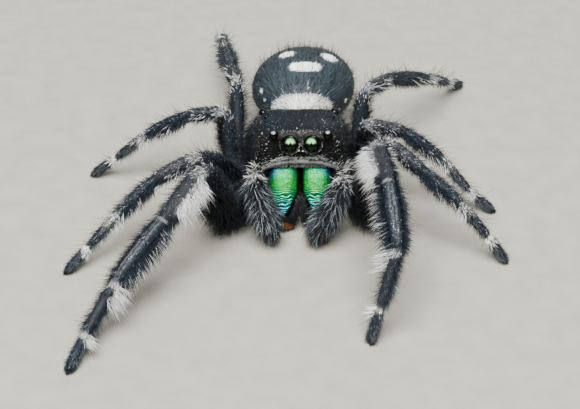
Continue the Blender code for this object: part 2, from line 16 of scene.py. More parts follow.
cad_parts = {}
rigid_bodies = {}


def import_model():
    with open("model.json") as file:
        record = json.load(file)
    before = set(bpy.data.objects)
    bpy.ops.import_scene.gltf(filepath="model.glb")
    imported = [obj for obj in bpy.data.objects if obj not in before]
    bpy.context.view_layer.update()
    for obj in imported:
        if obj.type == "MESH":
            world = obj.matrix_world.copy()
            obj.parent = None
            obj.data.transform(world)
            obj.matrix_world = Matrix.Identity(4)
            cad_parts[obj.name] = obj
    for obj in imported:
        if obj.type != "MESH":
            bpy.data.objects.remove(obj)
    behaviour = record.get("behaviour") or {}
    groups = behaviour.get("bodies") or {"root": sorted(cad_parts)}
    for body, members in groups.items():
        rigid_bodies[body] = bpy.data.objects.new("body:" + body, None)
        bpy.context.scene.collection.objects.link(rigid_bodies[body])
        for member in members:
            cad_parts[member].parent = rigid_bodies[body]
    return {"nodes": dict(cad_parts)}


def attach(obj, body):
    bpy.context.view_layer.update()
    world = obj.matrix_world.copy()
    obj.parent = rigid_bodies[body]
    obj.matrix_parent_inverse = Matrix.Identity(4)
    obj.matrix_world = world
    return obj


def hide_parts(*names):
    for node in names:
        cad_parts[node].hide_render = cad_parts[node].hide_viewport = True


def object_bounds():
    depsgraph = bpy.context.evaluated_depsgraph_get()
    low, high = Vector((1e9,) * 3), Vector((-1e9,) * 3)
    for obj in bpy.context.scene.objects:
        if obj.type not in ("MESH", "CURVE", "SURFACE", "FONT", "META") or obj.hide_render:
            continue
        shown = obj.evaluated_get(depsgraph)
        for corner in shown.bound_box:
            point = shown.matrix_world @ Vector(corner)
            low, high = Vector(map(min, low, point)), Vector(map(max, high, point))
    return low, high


for old in list(bpy.data.objects):
    bpy.data.objects.remove(old)
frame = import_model()
cad_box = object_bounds()
bpy.ops.object.select_all(action="DESELECT")
MM = 0.001
cad_low = np.array(cad_box[0]) / MM
cad_high = np.array(cad_box[1]) / MM
print("CAD box in mm:", cad_low.round(2), cad_high.round(2))

# %% [markdown]
# ## The camera
# The photograph looks down on the spider's face at 36 degrees, from almost straight ahead. The place comes
# from fitting the eyes, the knees and the feet of the model to the picture, so the lens and the distance
# together give the same perspective: a long lens, eight centimetres away.

# %% Camera at the photograph's angle
# The solids are moved by this much, which centres their box on the floor
CENTRE_SHIFT = np.array((0.6548, -0.0526, 0.0))
SIGHT_CLIMB = math.radians(35.7)
SIGHT_TURN = math.radians(-2.3)
SIGHT_ROLL = math.radians(-0.8)
SIGHT_REACH = 80.73
SIGHT_TARGET = np.array((-0.45, -3.0, 0.94)) + CENTRE_SHIFT
SENSOR_WIDTH = 36.0
# Focal length in widths of the picture
FOCAL_SHARE = 1751.0 / 580.0
NEAREST_CLIP = 0.005
FARTHEST_CLIP = 20.0


def aim_camera():
    level = math.cos(SIGHT_CLIMB)
    back = Vector((math.sin(SIGHT_TURN) * level, -math.cos(SIGHT_TURN) * level, math.sin(SIGHT_CLIMB)))
    right = Vector((math.cos(SIGHT_TURN), math.sin(SIGHT_TURN), 0.0))
    up = back.cross(right)
    rolled_right = right * math.cos(SIGHT_ROLL) - up * math.sin(SIGHT_ROLL)
    rolled_up = right * math.sin(SIGHT_ROLL) + up * math.cos(SIGHT_ROLL)
    bpy.ops.object.camera_add()
    camera = bpy.context.object
    camera.name = "camera"
    camera.data.sensor_width = SENSOR_WIDTH
    camera.data.lens = SENSOR_WIDTH * FOCAL_SHARE
    camera.data.clip_start = NEAREST_CLIP
    camera.data.clip_end = FARTHEST_CLIP
    place = (Vector(SIGHT_TARGET) + back * SIGHT_REACH) * MM
    turn = Matrix((rolled_right, rolled_up, back)).transposed()
    camera.matrix_world = Matrix.Translation(place) @ turn.to_4x4()
    bpy.context.scene.camera = camera
    return camera


camera = aim_camera()
print("lens", round(camera.data.lens, 1), "mm at", [round(value, 4) for value in camera.location])

# %% [markdown]
# ## Colours and nodes
# Colours are picked as sRGB hex values, as on a screen, and Blender mixes light in linear values, so one
# function turns them. A second one adds a shader node with its settings and its links, and a few short ones
# use it for the steps that come back, so that each material reads as a list of steps.


# %% Helpers for colours and nodes
def linear(code):
    """The linear red, green and blue of an sRGB hex colour."""
    values = np.array([int(code[i : i + 2], 16) for i in (1, 3, 5)]) / 255.0
    return np.where(values <= 0.04045, values / 12.92, ((values + 0.055) / 1.055) ** 2.4)


def paint(code):
    return (*linear(code), 1.0)


def new_material(name, numbers):
    """A material and its shader, with the shader's uniform numbers set on its sockets."""
    material = bpy.data.materials.new(name)
    material.use_nodes = True
    shader = material.node_tree.nodes["Principled BSDF"]
    for key, number in numbers.items():
        shader.inputs[key].default_value = number
    return material, shader


def add_node(material, kind, inputs=None, output=0, **settings):
    """Adds one node and gives back one of its outputs. An input is a value or another node's output."""
    node = material.node_tree.nodes.new("ShaderNode" + kind)
    for key, value in settings.items():
        setattr(node, key, value)
    for key, value in (inputs or {}).items():
        if isinstance(value, bpy.types.NodeSocket):
            material.node_tree.links.new(value, node.inputs[key])
        else:
            node.inputs[key].default_value = value
    return node.outputs[output]


def feed(material, shader, key, source):
    material.node_tree.links.new(source, shader.inputs[key])


def grain(material, scale, detail):
    """Noise over the object's own coordinates, which are metres."""
    place = add_node(material, "TexCoord", output="Object")
    return add_node(material, "TexNoise", {"Vector": place, "Scale": scale, "Detail": detail}, "Fac")


def remap(material, source, start, stop, low=0.0, high=1.0, kind="LINEAR"):
    """Carries the values from start to stop over to the values from low to high."""
    inputs = {"Value": source, "From Min": start, "From Max": stop, "To Min": low, "To Max": high}
    return add_node(material, "MapRange", inputs, "Result", interpolation_type=kind)


def calculate(material, operation, *terms):
    return add_node(material, "Math", dict(enumerate(terms)), "Value", operation=operation)


def tinted(material, under, share, code):
    """A colour with an sRGB colour laid over it by a share."""
    inputs = {"Factor": share, "A": under, "B": paint(code)}
    return add_node(material, "Mix", inputs, "Result", data_type="RGBA")


def scaled(material, colour, share):
    inputs = {"Vector": colour, "Scale": share}
    return add_node(material, "VectorMath", inputs, "Vector", operation="SCALE")


def raised(material, height, strength, distance):
    """A bump, with its distance in metres."""
    inputs = {"Height": height, "Strength": strength, "Distance": distance}
    return add_node(material, "Bump", inputs, "Normal")


def colour_ramp(material, share, stops):
    """A colour for each share, from stops given as places and sRGB colours."""
    colour = add_node(material, "ValToRGB", {"Fac": share}, "Color")
    ramp = colour.node.color_ramp
    while len(ramp.elements) > 1:
        ramp.elements.remove(ramp.elements[-1])
    ramp.elements[0].position = stops[0][0]
    ramp.elements[0].color = paint(stops[0][1])
    for place, code in stops[1:]:
        ramp.elements.new(place).color = paint(code)
    return colour


def layer_material(name, layer, numbers):
    """A material whose colour is stored on the mesh."""
    material, shader = new_material(name, numbers)
    colour = add_node(material, "Attribute", output="Color", attribute_name=layer)
    feed(material, shader, "Base Color", colour)
    return material


# %% [markdown]
# ## Floor and light
# A museum model is photographed on a plain pale sheet under large soft lamps. The spider is black, so its
# form shows only in soft reflections: one broad lamp stands overhead and a little in front, and a much weaker
# one behind lifts the outline.

# %% Floor, world and lamps
FLOOR_SIZE = 1.6
WORLD_COLOUR = "#e4e8ec"
WORLD_STRENGTH = 0.20
# Place, aim, width, power and colour of each lamp
LAMPS = {
    "lamp_overhead": ((-0.02, -0.09, 0.20), (0, 0, 0.003), 0.20, 2.08, (1.0, 0.99, 0.97)),
    "lamp_behind": ((0.05, 0.17, 0.13), (0, 0.002, 0.003), 0.12, 0.16, (0.97, 0.99, 1.0)),
}


def lay_floor():
    material, shader = new_material("matt_paper_floor", {"Roughness": 0.85})
    tone = colour_ramp(material, grain(material, 900.0, 3.0), ((0.3, "#908e83"), (0.7, "#9a988d")))
    feed(material, shader, "Base Color", tone)
    bpy.ops.mesh.primitive_plane_add(size=FLOOR_SIZE, location=(0, 0, 0))
    floor = bpy.context.object
    floor.name = "floor"
    floor.data.materials.append(material)


def hang_lamp(name, place, aim, width, power, colour):
    bpy.ops.object.light_add(type="AREA", location=Vector(place))
    lamp = bpy.context.object
    lamp.name = name
    lamp.data.shape = "DISK"
    lamp.data.size = width
    lamp.data.energy = power
    lamp.data.color = colour
    lamp.rotation_mode = "QUATERNION"
    lamp.rotation_quaternion = (Vector(place) - Vector(aim)).to_track_quat("Z", "Y")


lay_floor()
world = bpy.data.worlds.new("studio")
bpy.context.scene.world = world
world.use_nodes = True
sky = world.node_tree.nodes["Background"]
sky.inputs["Color"].default_value = paint(WORLD_COLOUR)
sky.inputs["Strength"].default_value = WORLD_STRENGTH
for name, settings in LAMPS.items():
    hang_lamp(name, *settings)
print("floor and two lamps")

# %% [markdown]
# ## One table of shapes
# Skin, hair and markings must agree, so all three read the same surfaces. A form is a grid of rings of
# points along the body or along a limb. A place on it is a share along it and a turn round it, and the form
# answers with the point, the way along the surface and the way out of it.


# %% The form: a grid of rings that answers for every place on it
def unit(vectors):
    return vectors / np.maximum(np.linalg.norm(vectors, axis=-1, keepdims=True), 1e-9)


class Form:
    """Rings of points in millimetres, with a patch of the unwrap to itself."""

    def __init__(self, name, rings, middles, places, patch):
        self.name = name
        self.rings = rings
        self.places = places
        self.patch = patch
        along = unit(np.gradient(rings, axis=0))
        around = unit(np.roll(rings, -1, axis=1) - np.roll(rings, 1, axis=1))
        out = unit(np.cross(around, along))
        outward = np.sum(out * (rings - middles[:, None, :]), axis=-1, keepdims=True)
        self.out = out * np.where(outward < 0, -1.0, 1.0)
        self.along = along
        strip = np.linalg.norm(np.diff(rings, axis=0), axis=-1)
        ring = np.linalg.norm(np.roll(rings, -1, axis=1) - rings, axis=-1)[:-1]
        self.area = strip * ring

    def look_up(self, grid, row, column):
        low = np.clip(row.astype(int), 0, len(self.rings) - 2)
        left = column.astype(int) % grid.shape[1]
        right = (left + 1) % grid.shape[1]
        up = (row - low)[:, None]
        over = (column - column.astype(int))[:, None]
        near = grid[low, left] * (1 - over) + grid[low, right] * over
        far = grid[low + 1, left] * (1 - over) + grid[low + 1, right] * over
        return near * (1 - up) + far * up

    def scatter(self, count, where, rng):
        """Random places on the form, denser where the given function of place and turn is larger."""
        rows, columns = self.area.shape
        row = np.repeat(np.arange(rows), columns)
        column = np.tile(np.arange(columns), rows)
        weight = self.area.ravel() * where(self.place_of(row + 0.5), self.turn_of(column + 0.5))
        chosen = rng.choice(len(weight), size=count, p=weight / weight.sum())
        return row[chosen] + rng.random(count), column[chosen] + rng.random(count)

    def place_of(self, row):
        return np.interp(row, np.arange(len(self.places)), self.places)

    def turn_of(self, column):
        """The turn round the form in degrees: 0 at the top, positive to the front or to +X."""
        return (360.0 * column / self.rings.shape[1] + 180.0) % 360.0 - 180.0

    def patch_at(self, row, column):
        left, low, width, height = self.patch
        across = left + width * (column / self.rings.shape[1])
        return np.stack((across, low + height * row / (len(self.rings) - 1)), axis=-1)


# Even steps over a span, to average over
STEPS = np.linspace(-1.0, 1.0, 9)


def soft_values(table, places, spans):
    """The columns of a table at the given places, averaged over a short span so that no corner stays."""
    table = np.array(table)
    columns = []
    for column in range(1, table.shape[1]):
        values = [np.interp(places + share * spans, table[:, 0], table[:, column]) for share in STEPS]
        columns.append(sum(values) / len(STEPS))
    return np.stack(columns, axis=-1)


def ring_turns(facets):
    return np.linspace(0, 2 * math.pi, facets, endpoint=False)


print("forms are ready to be drawn")

# %% [markdown]
# ## Head and abdomen
# The front half carries the eyes and the legs. It is boxy, with a flat top between the eyes and steep
# cheeks, and it is held up at the front by eighteen degrees. The abdomen behind it is a soft egg. Both are
# drawn from the sections that the CAD model uses, a coat's depth smaller.

# %% Sections of the body
COAT_DEPTH = 0.05
BODY_PITCH = math.radians(18.0)
BODY_PLACE = np.array((0.0, -0.5, 1.6))
MARGIN_SHARE = 0.27
# Place, half width, top, bottom, and the squareness of the upper and of the lower half
CARAPACE_SECTIONS = (
    (-2.93, 0.05, 1.60, 1.50, 3.3, 3.0),
    (-2.92, 0.90, 1.90, 0.94, 3.3, 3.6),
    (-2.88, 1.46, 2.06, 0.70, 3.3, 4.6),
    (-2.78, 1.84, 2.32, 0.52, 3.3, 5.0),
    (-2.50, 2.04, 2.50, 0.38, 3.5, 4.5),
    (-2.05, 2.13, 2.64, 0.30, 4.2, 3.6),
    (-1.72, 2.15, 2.70, 0.28, 5.0, 2.4),
    (-1.28, 2.15, 2.77, -0.12, 6.0, 1.55),
    (-0.85, 2.15, 2.79, -0.56, 6.0, 1.45),
    (0.00, 2.30, 2.64, -0.74, 4.4, 1.45),
    (0.90, 2.40, 2.26, -0.74, 3.3, 1.45),
    (1.70, 2.26, 1.76, -0.64, 3.3, 1.45),
    (2.35, 1.84, 1.20, -0.38, 3.3, 1.45),
    (2.78, 1.16, 0.80, -0.06, 3.3, 1.45),
    (2.95, 0.55, 0.52, 0.16, 3.3, 1.45),
    (3.00, 0.05, 0.40, 0.30, 3.3, 1.45),
)
ABDOMEN_FRONT = 2.42
ABDOMEN_LENGTH = 5.9
ABDOMEN_HALF_WIDTH = 2.38
ABDOMEN_TOP = 3.86
ABDOMEN_BOTTOM = 0.62
ABDOMEN_SAG = 0.5
ABDOMEN_SWAY = (0.24, 0.72)
# Powers of the egg's outline: the first moves its widest place to the front, the second makes it fuller
ABDOMEN_SWELL = (0.86, 0.66)
ABDOMEN_SQUARENESS = 2.15
# The solid's locks stand this far off its core, so the abdomen's coat does too.
ABDOMEN_LOFT = 0.18
# Facets round each form, and rings along it
CARAPACE_FACETS = 56
ABDOMEN_FACETS = 112
ABDOMEN_RINGS = 110
CLYPEUS_FACETS = 20
CLYPEUS_RINGS = 90


def body_point(points):
    """Points of the level animal, where the raised body carries them."""
    x, y, z = np.moveaxis(np.asarray(points, dtype=float), -1, 0)
    cosine, sine = math.cos(BODY_PITCH), math.sin(BODY_PITCH)
    turned = np.stack((x, y * cosine + z * sine, z * cosine - y * sine), axis=-1)
    return turned + BODY_PLACE + CENTRE_SHIFT


def body_way(direction):
    return unit(body_point(direction) - body_point((0, 0, 0)))


def rounded(turns, upper, lower):
    """Across and up of a ring that starts at its top: an ellipse at squareness 2, nearer a box above that."""
    up, across = np.cos(turns), np.sin(turns)
    power = 2.0 / np.where(up < 0, lower, upper)
    return np.sign(across) * np.abs(across) ** power, np.sign(up) * np.abs(up) ** power


def carapace_form():
    places = np.concatenate((np.linspace(-2.93, -2.5, 24), np.linspace(-2.45, 3.0, 84)))
    spans = np.interp(places, (-1.6, -0.6, 2.2, 3.0), (0.10, 0.40, 0.35, 0.08))
    values = soft_values(CARAPACE_SECTIONS, places, spans)
    values[0], values[-1] = CARAPACE_SECTIONS[0][1:], CARAPACE_SECTIONS[-1][1:]
    half, top, bottom, above, below = values.T
    middle = bottom + MARGIN_SHARE * (top - bottom)
    across, up = rounded(ring_turns(CARAPACE_FACETS), above[:, None], below[:, None])
    inner = np.maximum(half - COAT_DEPTH, 0.02)[:, None]
    room = np.where(up > 0, (top - middle)[:, None], (middle - bottom)[:, None])
    x = inner * across
    y = np.broadcast_to(places[:, None], x.shape)
    z = middle[:, None] + np.maximum(room - COAT_DEPTH, 0.01) * up
    rings = body_point(np.stack((x, y, z), axis=-1))
    middles = body_point(np.stack((0 * places, places, middle), axis=-1))
    return Form("carapace", rings, middles, places, (0.02, 0.52, 0.46, 0.46))


def abdomen_form():
    share = 0.004 + 0.992 * 0.5 * (1.0 - np.cos(np.linspace(0, math.pi, ABDOMEN_RINGS)))
    swell = np.sin(math.pi * share ** ABDOMEN_SWELL[0]) ** ABDOMEN_SWELL[1]
    drop = ABDOMEN_SAG * share**3
    middle = 0.5 * (ABDOMEN_TOP + ABDOMEN_BOTTOM)
    sway = ABDOMEN_SWAY[0] + (ABDOMEN_SWAY[1] - ABDOMEN_SWAY[0]) * share
    across, up = rounded(ring_turns(ABDOMEN_FACETS), ABDOMEN_SQUARENESS, ABDOMEN_SQUARENESS)
    upper = (ABDOMEN_TOP + 1.6 * ABDOMEN_LOFT - middle + 0.3 * drop) * swell
    lower = (middle - ABDOMEN_BOTTOM - 0.7 * drop) * swell
    rise = np.maximum(np.where(up > 0, upper[:, None], lower[:, None]) - COAT_DEPTH, 0.01)
    wide = (ABDOMEN_HALF_WIDTH + ABDOMEN_LOFT) * swell - COAT_DEPTH
    x = sway[:, None] + np.maximum(wide, 0.01)[:, None] * across
    y = np.broadcast_to((ABDOMEN_FRONT + (ABDOMEN_LENGTH + ABDOMEN_LOFT) * share)[:, None], x.shape)
    z = (middle - drop)[:, None] + rise * up
    rings = np.stack((x, y, z), axis=-1) + CENTRE_SHIFT
    line = np.stack((sway, ABDOMEN_FRONT + ABDOMEN_LENGTH * share, middle - drop), axis=-1)
    return Form("abdomen", rings, line + CENTRE_SHIFT, share, (0.52, 0.52, 0.46, 0.46))


# The lower edge of the face, from its middle to the cheek: across, along, height of its middle, half height
CLYPEUS_EDGE = (
    (0.00, -2.93, 0.84, 0.055),
    (0.60, -2.92, 0.81, 0.055),
    (1.10, -2.87, 0.71, 0.060),
    (1.50, -2.77, 0.57, 0.080),
    (1.80, -2.60, 0.45, 0.130),
    (1.98, -2.30, 0.38, 0.190),
    (2.02, -1.98, 0.36, 0.200),
)
CLYPEUS_THICKNESS = 0.075


def clypeus_form():
    """A low roll along the lower edge of the face. A turn of 0 is its top, and 90 its front."""
    half = np.array(CLYPEUS_EDGE)
    whole = np.concatenate((half[:0:-1] * (-1, 1, 1, 1), half))
    places = np.linspace(-1.0, 1.0, CLYPEUS_RINGS)
    knots = np.linspace(-1.0, 1.0, len(whole))
    values = soft_values(np.column_stack((knots, whole)), places, 0.07)
    line, height = values[:, :3], values[:, 3]
    ends = np.sqrt(np.clip(1.0 - places**20, 0.02, 1.0))
    run = unit(np.gradient(line, axis=0))
    front = unit(np.cross(run, (0.0, 0.0, 1.0)))
    turns = ring_turns(CLYPEUS_FACETS)
    thick = (CLYPEUS_THICKNESS * np.sin(turns))[None, :, None] * ends[:, None, None]
    rings = line[:, None, :] + front[:, None, :] * thick
    rings[..., 2] += (height * ends)[:, None] * np.cos(turns)
    return Form("clypeus", body_point(rings), body_point(line), places, (0.81, 0.34, 0.17, 0.05))


carapace = carapace_form()
abdomen = abdomen_form()
clypeus = clypeus_form()
print("body forms:", carapace.rings.shape, abdomen.rings.shape, clypeus.rings.shape)

# %% [markdown]
# ## Legs and feelers
# A spider's leg has seven lengths that narrow and swell at each joint. A place along a leg is counted in
# lengths: 1 to 2 is the thigh, 2 to 3 the knee piece, 3 to 4 the shin, 4 to 5 the long foot piece and 5 to 6
# the last one. The lengths, headings and slopes of each leg are those of the CAD model, which were set from
# the photograph, and the corners are rounded over a third of a millimetre.

# %% Sections of the limbs
LEG_LENGTHS = {
    1: (3.01, 3.55, 2.63, 1.58),
    2: (2.30, 2.28, 1.95, 1.31),
    3: (1.83, 2.12, 2.07, 1.43),
    4: (1.96, 3.02, 2.90, 1.41),
}
LEG_HEIGHTS = {
    1: (1.46, 1.08, 0.98, 0.70, 0.56),
    2: (1.10, 0.86, 0.76, 0.60, 0.53),
    3: (1.04, 0.80, 0.70, 0.57, 0.52),
    4: (1.04, 0.80, 0.70, 0.58, 0.52),
}
LEG_WIDTH_SHARE = (0.76, 0.86, 0.90, 0.94, 0.98)
# Where each pair leaves the body, and the end of its hip, in the level animal
LEG_ROOTS = {
    1: ((1.84, -1.10, -0.20), (3.30, -2.81, -1.54)),
    2: ((1.92, -0.50, -0.70), (3.02, -0.76, -0.20)),
    3: ((2.00, 0.52, -0.82), (3.14, 0.66, -0.20)),
    4: ((1.96, 1.50, -0.88), (2.86, 2.00, -0.26)),
}
SOLE_HEIGHT = 0.24
FRONT_HIP_SHARE = 1.15
# Knee, headings of the four lengths after it, and their climbs, in degrees
LEG_POSES = {
    "right_1": ((-4.38, -5.2, 4.4), (-52, -52, -60, -67), (-23, -22, -24, -25)),
    "right_2": ((-4.68, -2.75, 3.46), (-26, -40, -39, -38), (-16, -24, -31, -36)),
    "right_3": ((-3.42, 0.6, 3.72), (1, 3, 2, -1), (-7, -29, -43, -43)),
    "right_4": ((-2.82, 4.7, 2.76), (80, 85, 87, 88), (-7, -13, -21, -26)),
    "left_1": ((3.28, -4.15, 4.95), (-84, -87, -127, -135), (0, -16, -64, -70)),
    "left_2": ((4.0, -2.45, 3.9), (-52, -33, -27, -26), (-7, -28, -44, -51)),
    "left_3": ((3.17, -0.38, 3.58), (-21, -22, -18, -17), (1, -29, -48, -41)),
    "left_4": ((3.22, 2.3, 3.76), (42, 48, 55, 51), (-2, -24, -32, -34)),
}
# Joints of each feeler, from the body to its tip
PALP_POINTS = {
    "right": ((-1.70, -2.35, 2.24), (-2.12, -3.85, 3.10), (-1.92, -4.32, 2.38), (-1.34, -5.00, 0.72)),
    "left": ((1.70, -2.35, 2.24), (1.94, -3.80, 2.86), (1.52, -4.38, 2.10), (0.62, -5.08, 0.68)),
}
# Half width and half height along a leg: place, which length's size counts, share of width, share of height
LEG_SECTIONS = (
    (-0.40, None, 0.30, 0.30),
    (0.00, None, 0.32, 0.32),
    (0.70, None, 0.34, 0.34),
    (1.02, None, 0.38, 0.39),
    (1.22, 0, 0.88, 0.84),
    (1.45, 0, 1.00, 1.00),
    (1.68, 0, 0.96, 0.95),
    (1.86, 0, 0.86, 0.78),
    (2.00, 0, 0.66, 0.56),
    (2.10, 1, 0.88, 0.84),
    (2.26, 1, 1.00, 0.97),
    (2.60, 1, 1.00, 1.00),
    (2.88, 1, 0.92, 0.92),
    (3.00, 1, 0.74, 0.74),
    (3.08, 2, 0.88, 0.88),
    (3.32, 2, 1.00, 1.00),
    (3.70, 2, 0.94, 0.94),
    (3.93, 2, 0.78, 0.78),
    (4.00, 2, 0.62, 0.62),
    (4.07, 3, 0.92, 0.92),
    (4.40, 3, 0.96, 0.96),
    (4.85, 3, 0.88, 0.88),
    (5.00, 3, 0.66, 0.66),
    (5.08, 4, 0.86, 0.86),
    (5.60, 4, 1.00, 1.00),
    (5.92, 4, 0.98, 0.96),
    (6.06, 4, 0.74, 0.70),
    (6.13, 4, 0.40, 0.36),
    (6.15, None, 0.03, 0.03),
)
PALP_SECTIONS = (
    (-0.20, 0.22, 0.22),
    (0.00, 0.25, 0.25),
    (0.30, 0.27, 0.30),
    (0.70, 0.30, 0.33),
    (1.00, 0.26, 0.26),
    (1.50, 0.33, 0.33),
    (2.00, 0.32, 0.34),
    (2.15, 0.38, 0.40),
    (2.45, 0.44, 0.46),
    (2.75, 0.38, 0.40),
    (2.95, 0.22, 0.24),
    (3.02, 0.03, 0.03),
)
# Joints are rounded over the first span, and headings turn over the second
CORNER_SPAN = 0.30
HEADING_SPAN = 0.45
SECTION_SPAN = 0.10
LIMB_FACETS = 28
LEG_RINGS = 170
PALP_RINGS = 80


def limb_form(name, side, joints, sections, patch, rings):
    """Rings along a chain of joints. A turn of 0 is the limb's top, and 90 its front."""
    joints = np.array(joints)
    lengths = np.linalg.norm(np.diff(joints, axis=0), axis=-1)
    headings = np.diff(joints, axis=0) / lengths[:, None]
    places = np.linspace(sections[0][0], sections[-1][0], rings)

    def segment(at):
        return np.clip(np.floor(at).astype(int), 0, len(lengths) - 1)

    spread = 1.0 / lengths[segment(places)]
    centre = 0.0
    heading = 0.0
    for share in STEPS:
        at = places + share * CORNER_SPAN * spread
        index = segment(at)
        centre = centre + joints[index] + headings[index] * (lengths[index] * (at - index))[:, None]
        heading = heading + headings[segment(places + share * HEADING_SPAN * spread)]
    centre = centre / len(STEPS)
    heading = unit(heading)
    across = unit(np.cross(heading, (0.0, 0.0, 1.0)))
    up = unit(np.cross(across, heading))
    wide, high = soft_values(sections, places, SECTION_SPAN * spread).T
    wide[-1], high[-1] = sections[-1][1:]
    turns = ring_turns(LIMB_FACETS)
    rise = up[:, None, :] * (high[:, None] * np.cos(turns))[:, :, None]
    run = across[:, None, :] * side * (wide[:, None] * np.sin(turns))[:, :, None]
    ring_points = centre[:, None, :] + rise + run
    ring_points[..., 2] = np.maximum(ring_points[..., 2], 0.0)
    return Form(name, ring_points, centre, places, patch)


def leg_joints(leg, side, pair):
    knee, headings, climbs = LEG_POSES[leg]
    joints = [body_point((side * x, y, z)) for x, y, z in LEG_ROOTS[pair]]
    joints.append(np.array(knee) + CENTRE_SHIFT)
    for length, heading, climb in zip(LEG_LENGTHS[pair], headings, climbs):
        a, e = math.radians(heading), math.radians(climb)
        way = np.array((side * math.cos(a) * math.cos(e), math.sin(a) * math.cos(e), math.sin(e)))
        joints.append(joints[-1] + way * length)
    joints[-1][2] = SOLE_HEIGHT
    return joints


def leg_form(leg, patch):
    side = -1 if leg.startswith("right") else 1
    pair = int(leg[-1])
    sections = []
    for place, length, wide, high in LEG_SECTIONS:
        if length is None and pair == 1 and 0 < place < 6:
            wide, high = FRONT_HIP_SHARE * wide, FRONT_HIP_SHARE * high
        if length is not None:
            half = 0.5 * LEG_HEIGHTS[pair][length]
            wide = wide * half * LEG_WIDTH_SHARE[length] - COAT_DEPTH
            high = high * half - COAT_DEPTH
        sections.append((place, wide, high))
    form = limb_form("leg_" + leg, side, leg_joints(leg, side, pair), sections, patch, LEG_RINGS)
    form.pair = pair
    return form


legs = [leg_form(leg, (0.02 + 0.098 * i, 0.02, 0.085, 0.46)) for i, leg in enumerate(LEG_POSES)]
palps = []
for i, (name, points) in enumerate(PALP_POINTS.items()):
    side = -1 if name == "right" else 1
    patch = (0.81 + 0.09 * i, 0.02, 0.08, 0.30)
    joints = np.array(points) + CENTRE_SHIFT
    palps.append(limb_form("palp_" + name, side, joints, PALP_SECTIONS, patch, PALP_RINGS))
all_forms = [carapace, abdomen, clypeus, *legs, *palps]
lowest = min(form.rings[..., 2].min() for form in legs)
print(len(legs), "legs and", len(palps), "feelers; lowest point", round(lowest, 3))

# %% [markdown]
# ## The markings
# The animal is black with a blue-grey bloom, and its white marks are made of white scales and hairs. The
# marks are written once, as functions of a place and a turn: how white a place is, and what the dark ground
# looks like there, with the bloom laid on thickest on top as a painted sheen. The skin takes both as its
# colour, and each hair takes the colour of its root, so that they always agree.


# %% Markings of the abdomen, the head and the limbs
def bump_at(value, middle, width):
    """1 at the middle, falling smoothly to 0 at a distance of about twice the width."""
    return np.exp(-(((value - middle) / width) ** 2))


def step(value):
    """0 well below 0 and 1 well above it."""
    return 0.5 + 0.5 * np.tanh(0.5 * value)


def between(value, low, high, soft):
    """1 between low and high, with soft edges."""
    return step((value - low) / soft) * step((high - value) / soft)


# How fast the edge of a white mark of the abdomen falls off
MARK_EDGE = 16.0
# The white band: its front edge, its rear edge on top, how much further back that is on the sides, its ends
BAND_FRONT = 0.010
BAND_REAR = 0.081
BAND_FLARE = 0.026
BAND_ENDS = (-95, 108)
# Middle along and round the abdomen, and half length and half width, of the bar and of each spot
ABDOMEN_BAR = (0.303, 2.0, 0.044, 17.4)
ABDOMEN_SPOTS = (
    (0.498, -18.6, 0.055, 8.4),
    (0.474, 29.0, 0.055, 10.0),
    (0.236, -68.0, 0.018, 3.6),
    (0.172, -79.0, 0.012, 2.6),
    (0.236, 90.0, 0.018, 3.6),
    (0.172, 101.0, 0.012, 2.6),
    (0.124, 8.5, 0.007, 1.7),
)


def abdomen_white(place, turn):
    """A band at the front, a bar with a fine seam behind it, and spots."""
    edge = BAND_REAR + BAND_FLARE * np.sin(np.radians(turn)) ** 2
    white = between(place, BAND_FRONT, edge, 0.003) * between(turn, *BAND_ENDS, 2.0)
    middle, side, length, width = ABDOMEN_BAR
    along, around = np.abs((place - middle) / length), np.abs((turn - side) / width)
    bar = step(MARK_EDGE * (1.0 - along**3 - around**3))
    white = white + bar * (1.0 - 0.5 * bump_at(turn, 0.5, 0.6))
    for middle, side, length, width in ABDOMEN_SPOTS:
        reach = np.hypot((place - middle) / length, (turn - side) / width)
        white = white + step(MARK_EDGE * (1.0 - reach))
    return np.clip(white, 0, 1)


def limb_white(form, place, turn):
    """White knees and joints, the white front of the first knee piece, and pale ends of the other legs."""
    if form.name.startswith("palp"):
        return 0.4 * bump_at(place, 1.04, 0.12) * between(np.abs(turn), -1, 100, 12)
    upper = between(np.abs(turn), -1, 75, 12)
    knee = 0.22 * bump_at(place, 2.10, 0.09) * between(turn, -60, 130, 12)
    joints = (0.30 * bump_at(place, 4.06, 0.05) + 0.60 * bump_at(place, 5.07, 0.06)) * upper
    if form.pair == 1:
        fringe = 0.75 * between(place, 2.12, 2.80, 0.03) * between(turn, 62, 125, 6)
        lines = 0.10 * between(place, 3.06, 3.92, 0.03) * between(np.abs(turn), 9, 22, 2.5)
        seam = 0.18 * bump_at(place, 3.015, 0.012) * upper
        return np.clip(knee + fringe + lines + seam + joints, 0, 1)
    patella = 0.02 * between(place, 2.1, 2.9, 0.05) * upper
    ends = 0.42 * bump_at(place, 4.20, 0.18) * upper + 0.55 * bump_at(place, 5.12, 0.10) * upper
    return np.clip(knee + patella + joints + ends, 0, 1)


def whiteness(form, place, turn):
    if form is abdomen:
        return abdomen_white(place, turn)
    if form is carapace:
        sides = 0.006 * between(place, -2.7, 1.6, 0.1) * between(np.abs(turn), 28, 118, 8)
        return sides + 0.002 * between(place, -2.86, 2.0, 0.05)
    return np.zeros_like(place) if form is clypeus else limb_white(form, place, turn)


# Deep and light tone of the dark ground, the light one laid on thickest on top as a painted sheen, the chance
# of a lighter fleck, and its tone
GROUND = {
    "abdomen": ("#0a0d10", "#50616b", 0.08, "#87959c"),
    "carapace": ("#010202", "#0b0c0c", 0.05, "#84857c"),
    "leg": ("#06080a", "#374452", 0.06, "#8d99a4"),
    "palp": ("#07090b", "#33393e", 0.06, "#868b8d"),
    "clypeus": ("#3e403f", "#979c9a", 0.20, "#c3c6c3"),
}
HEAD_BLUE = linear("#0e2539")
HEAD_BROWN = linear("#504c48")
PATELLA_TAUPE = linear("#474a4f")
SCALE_WHITE = linear("#fdfdfb")


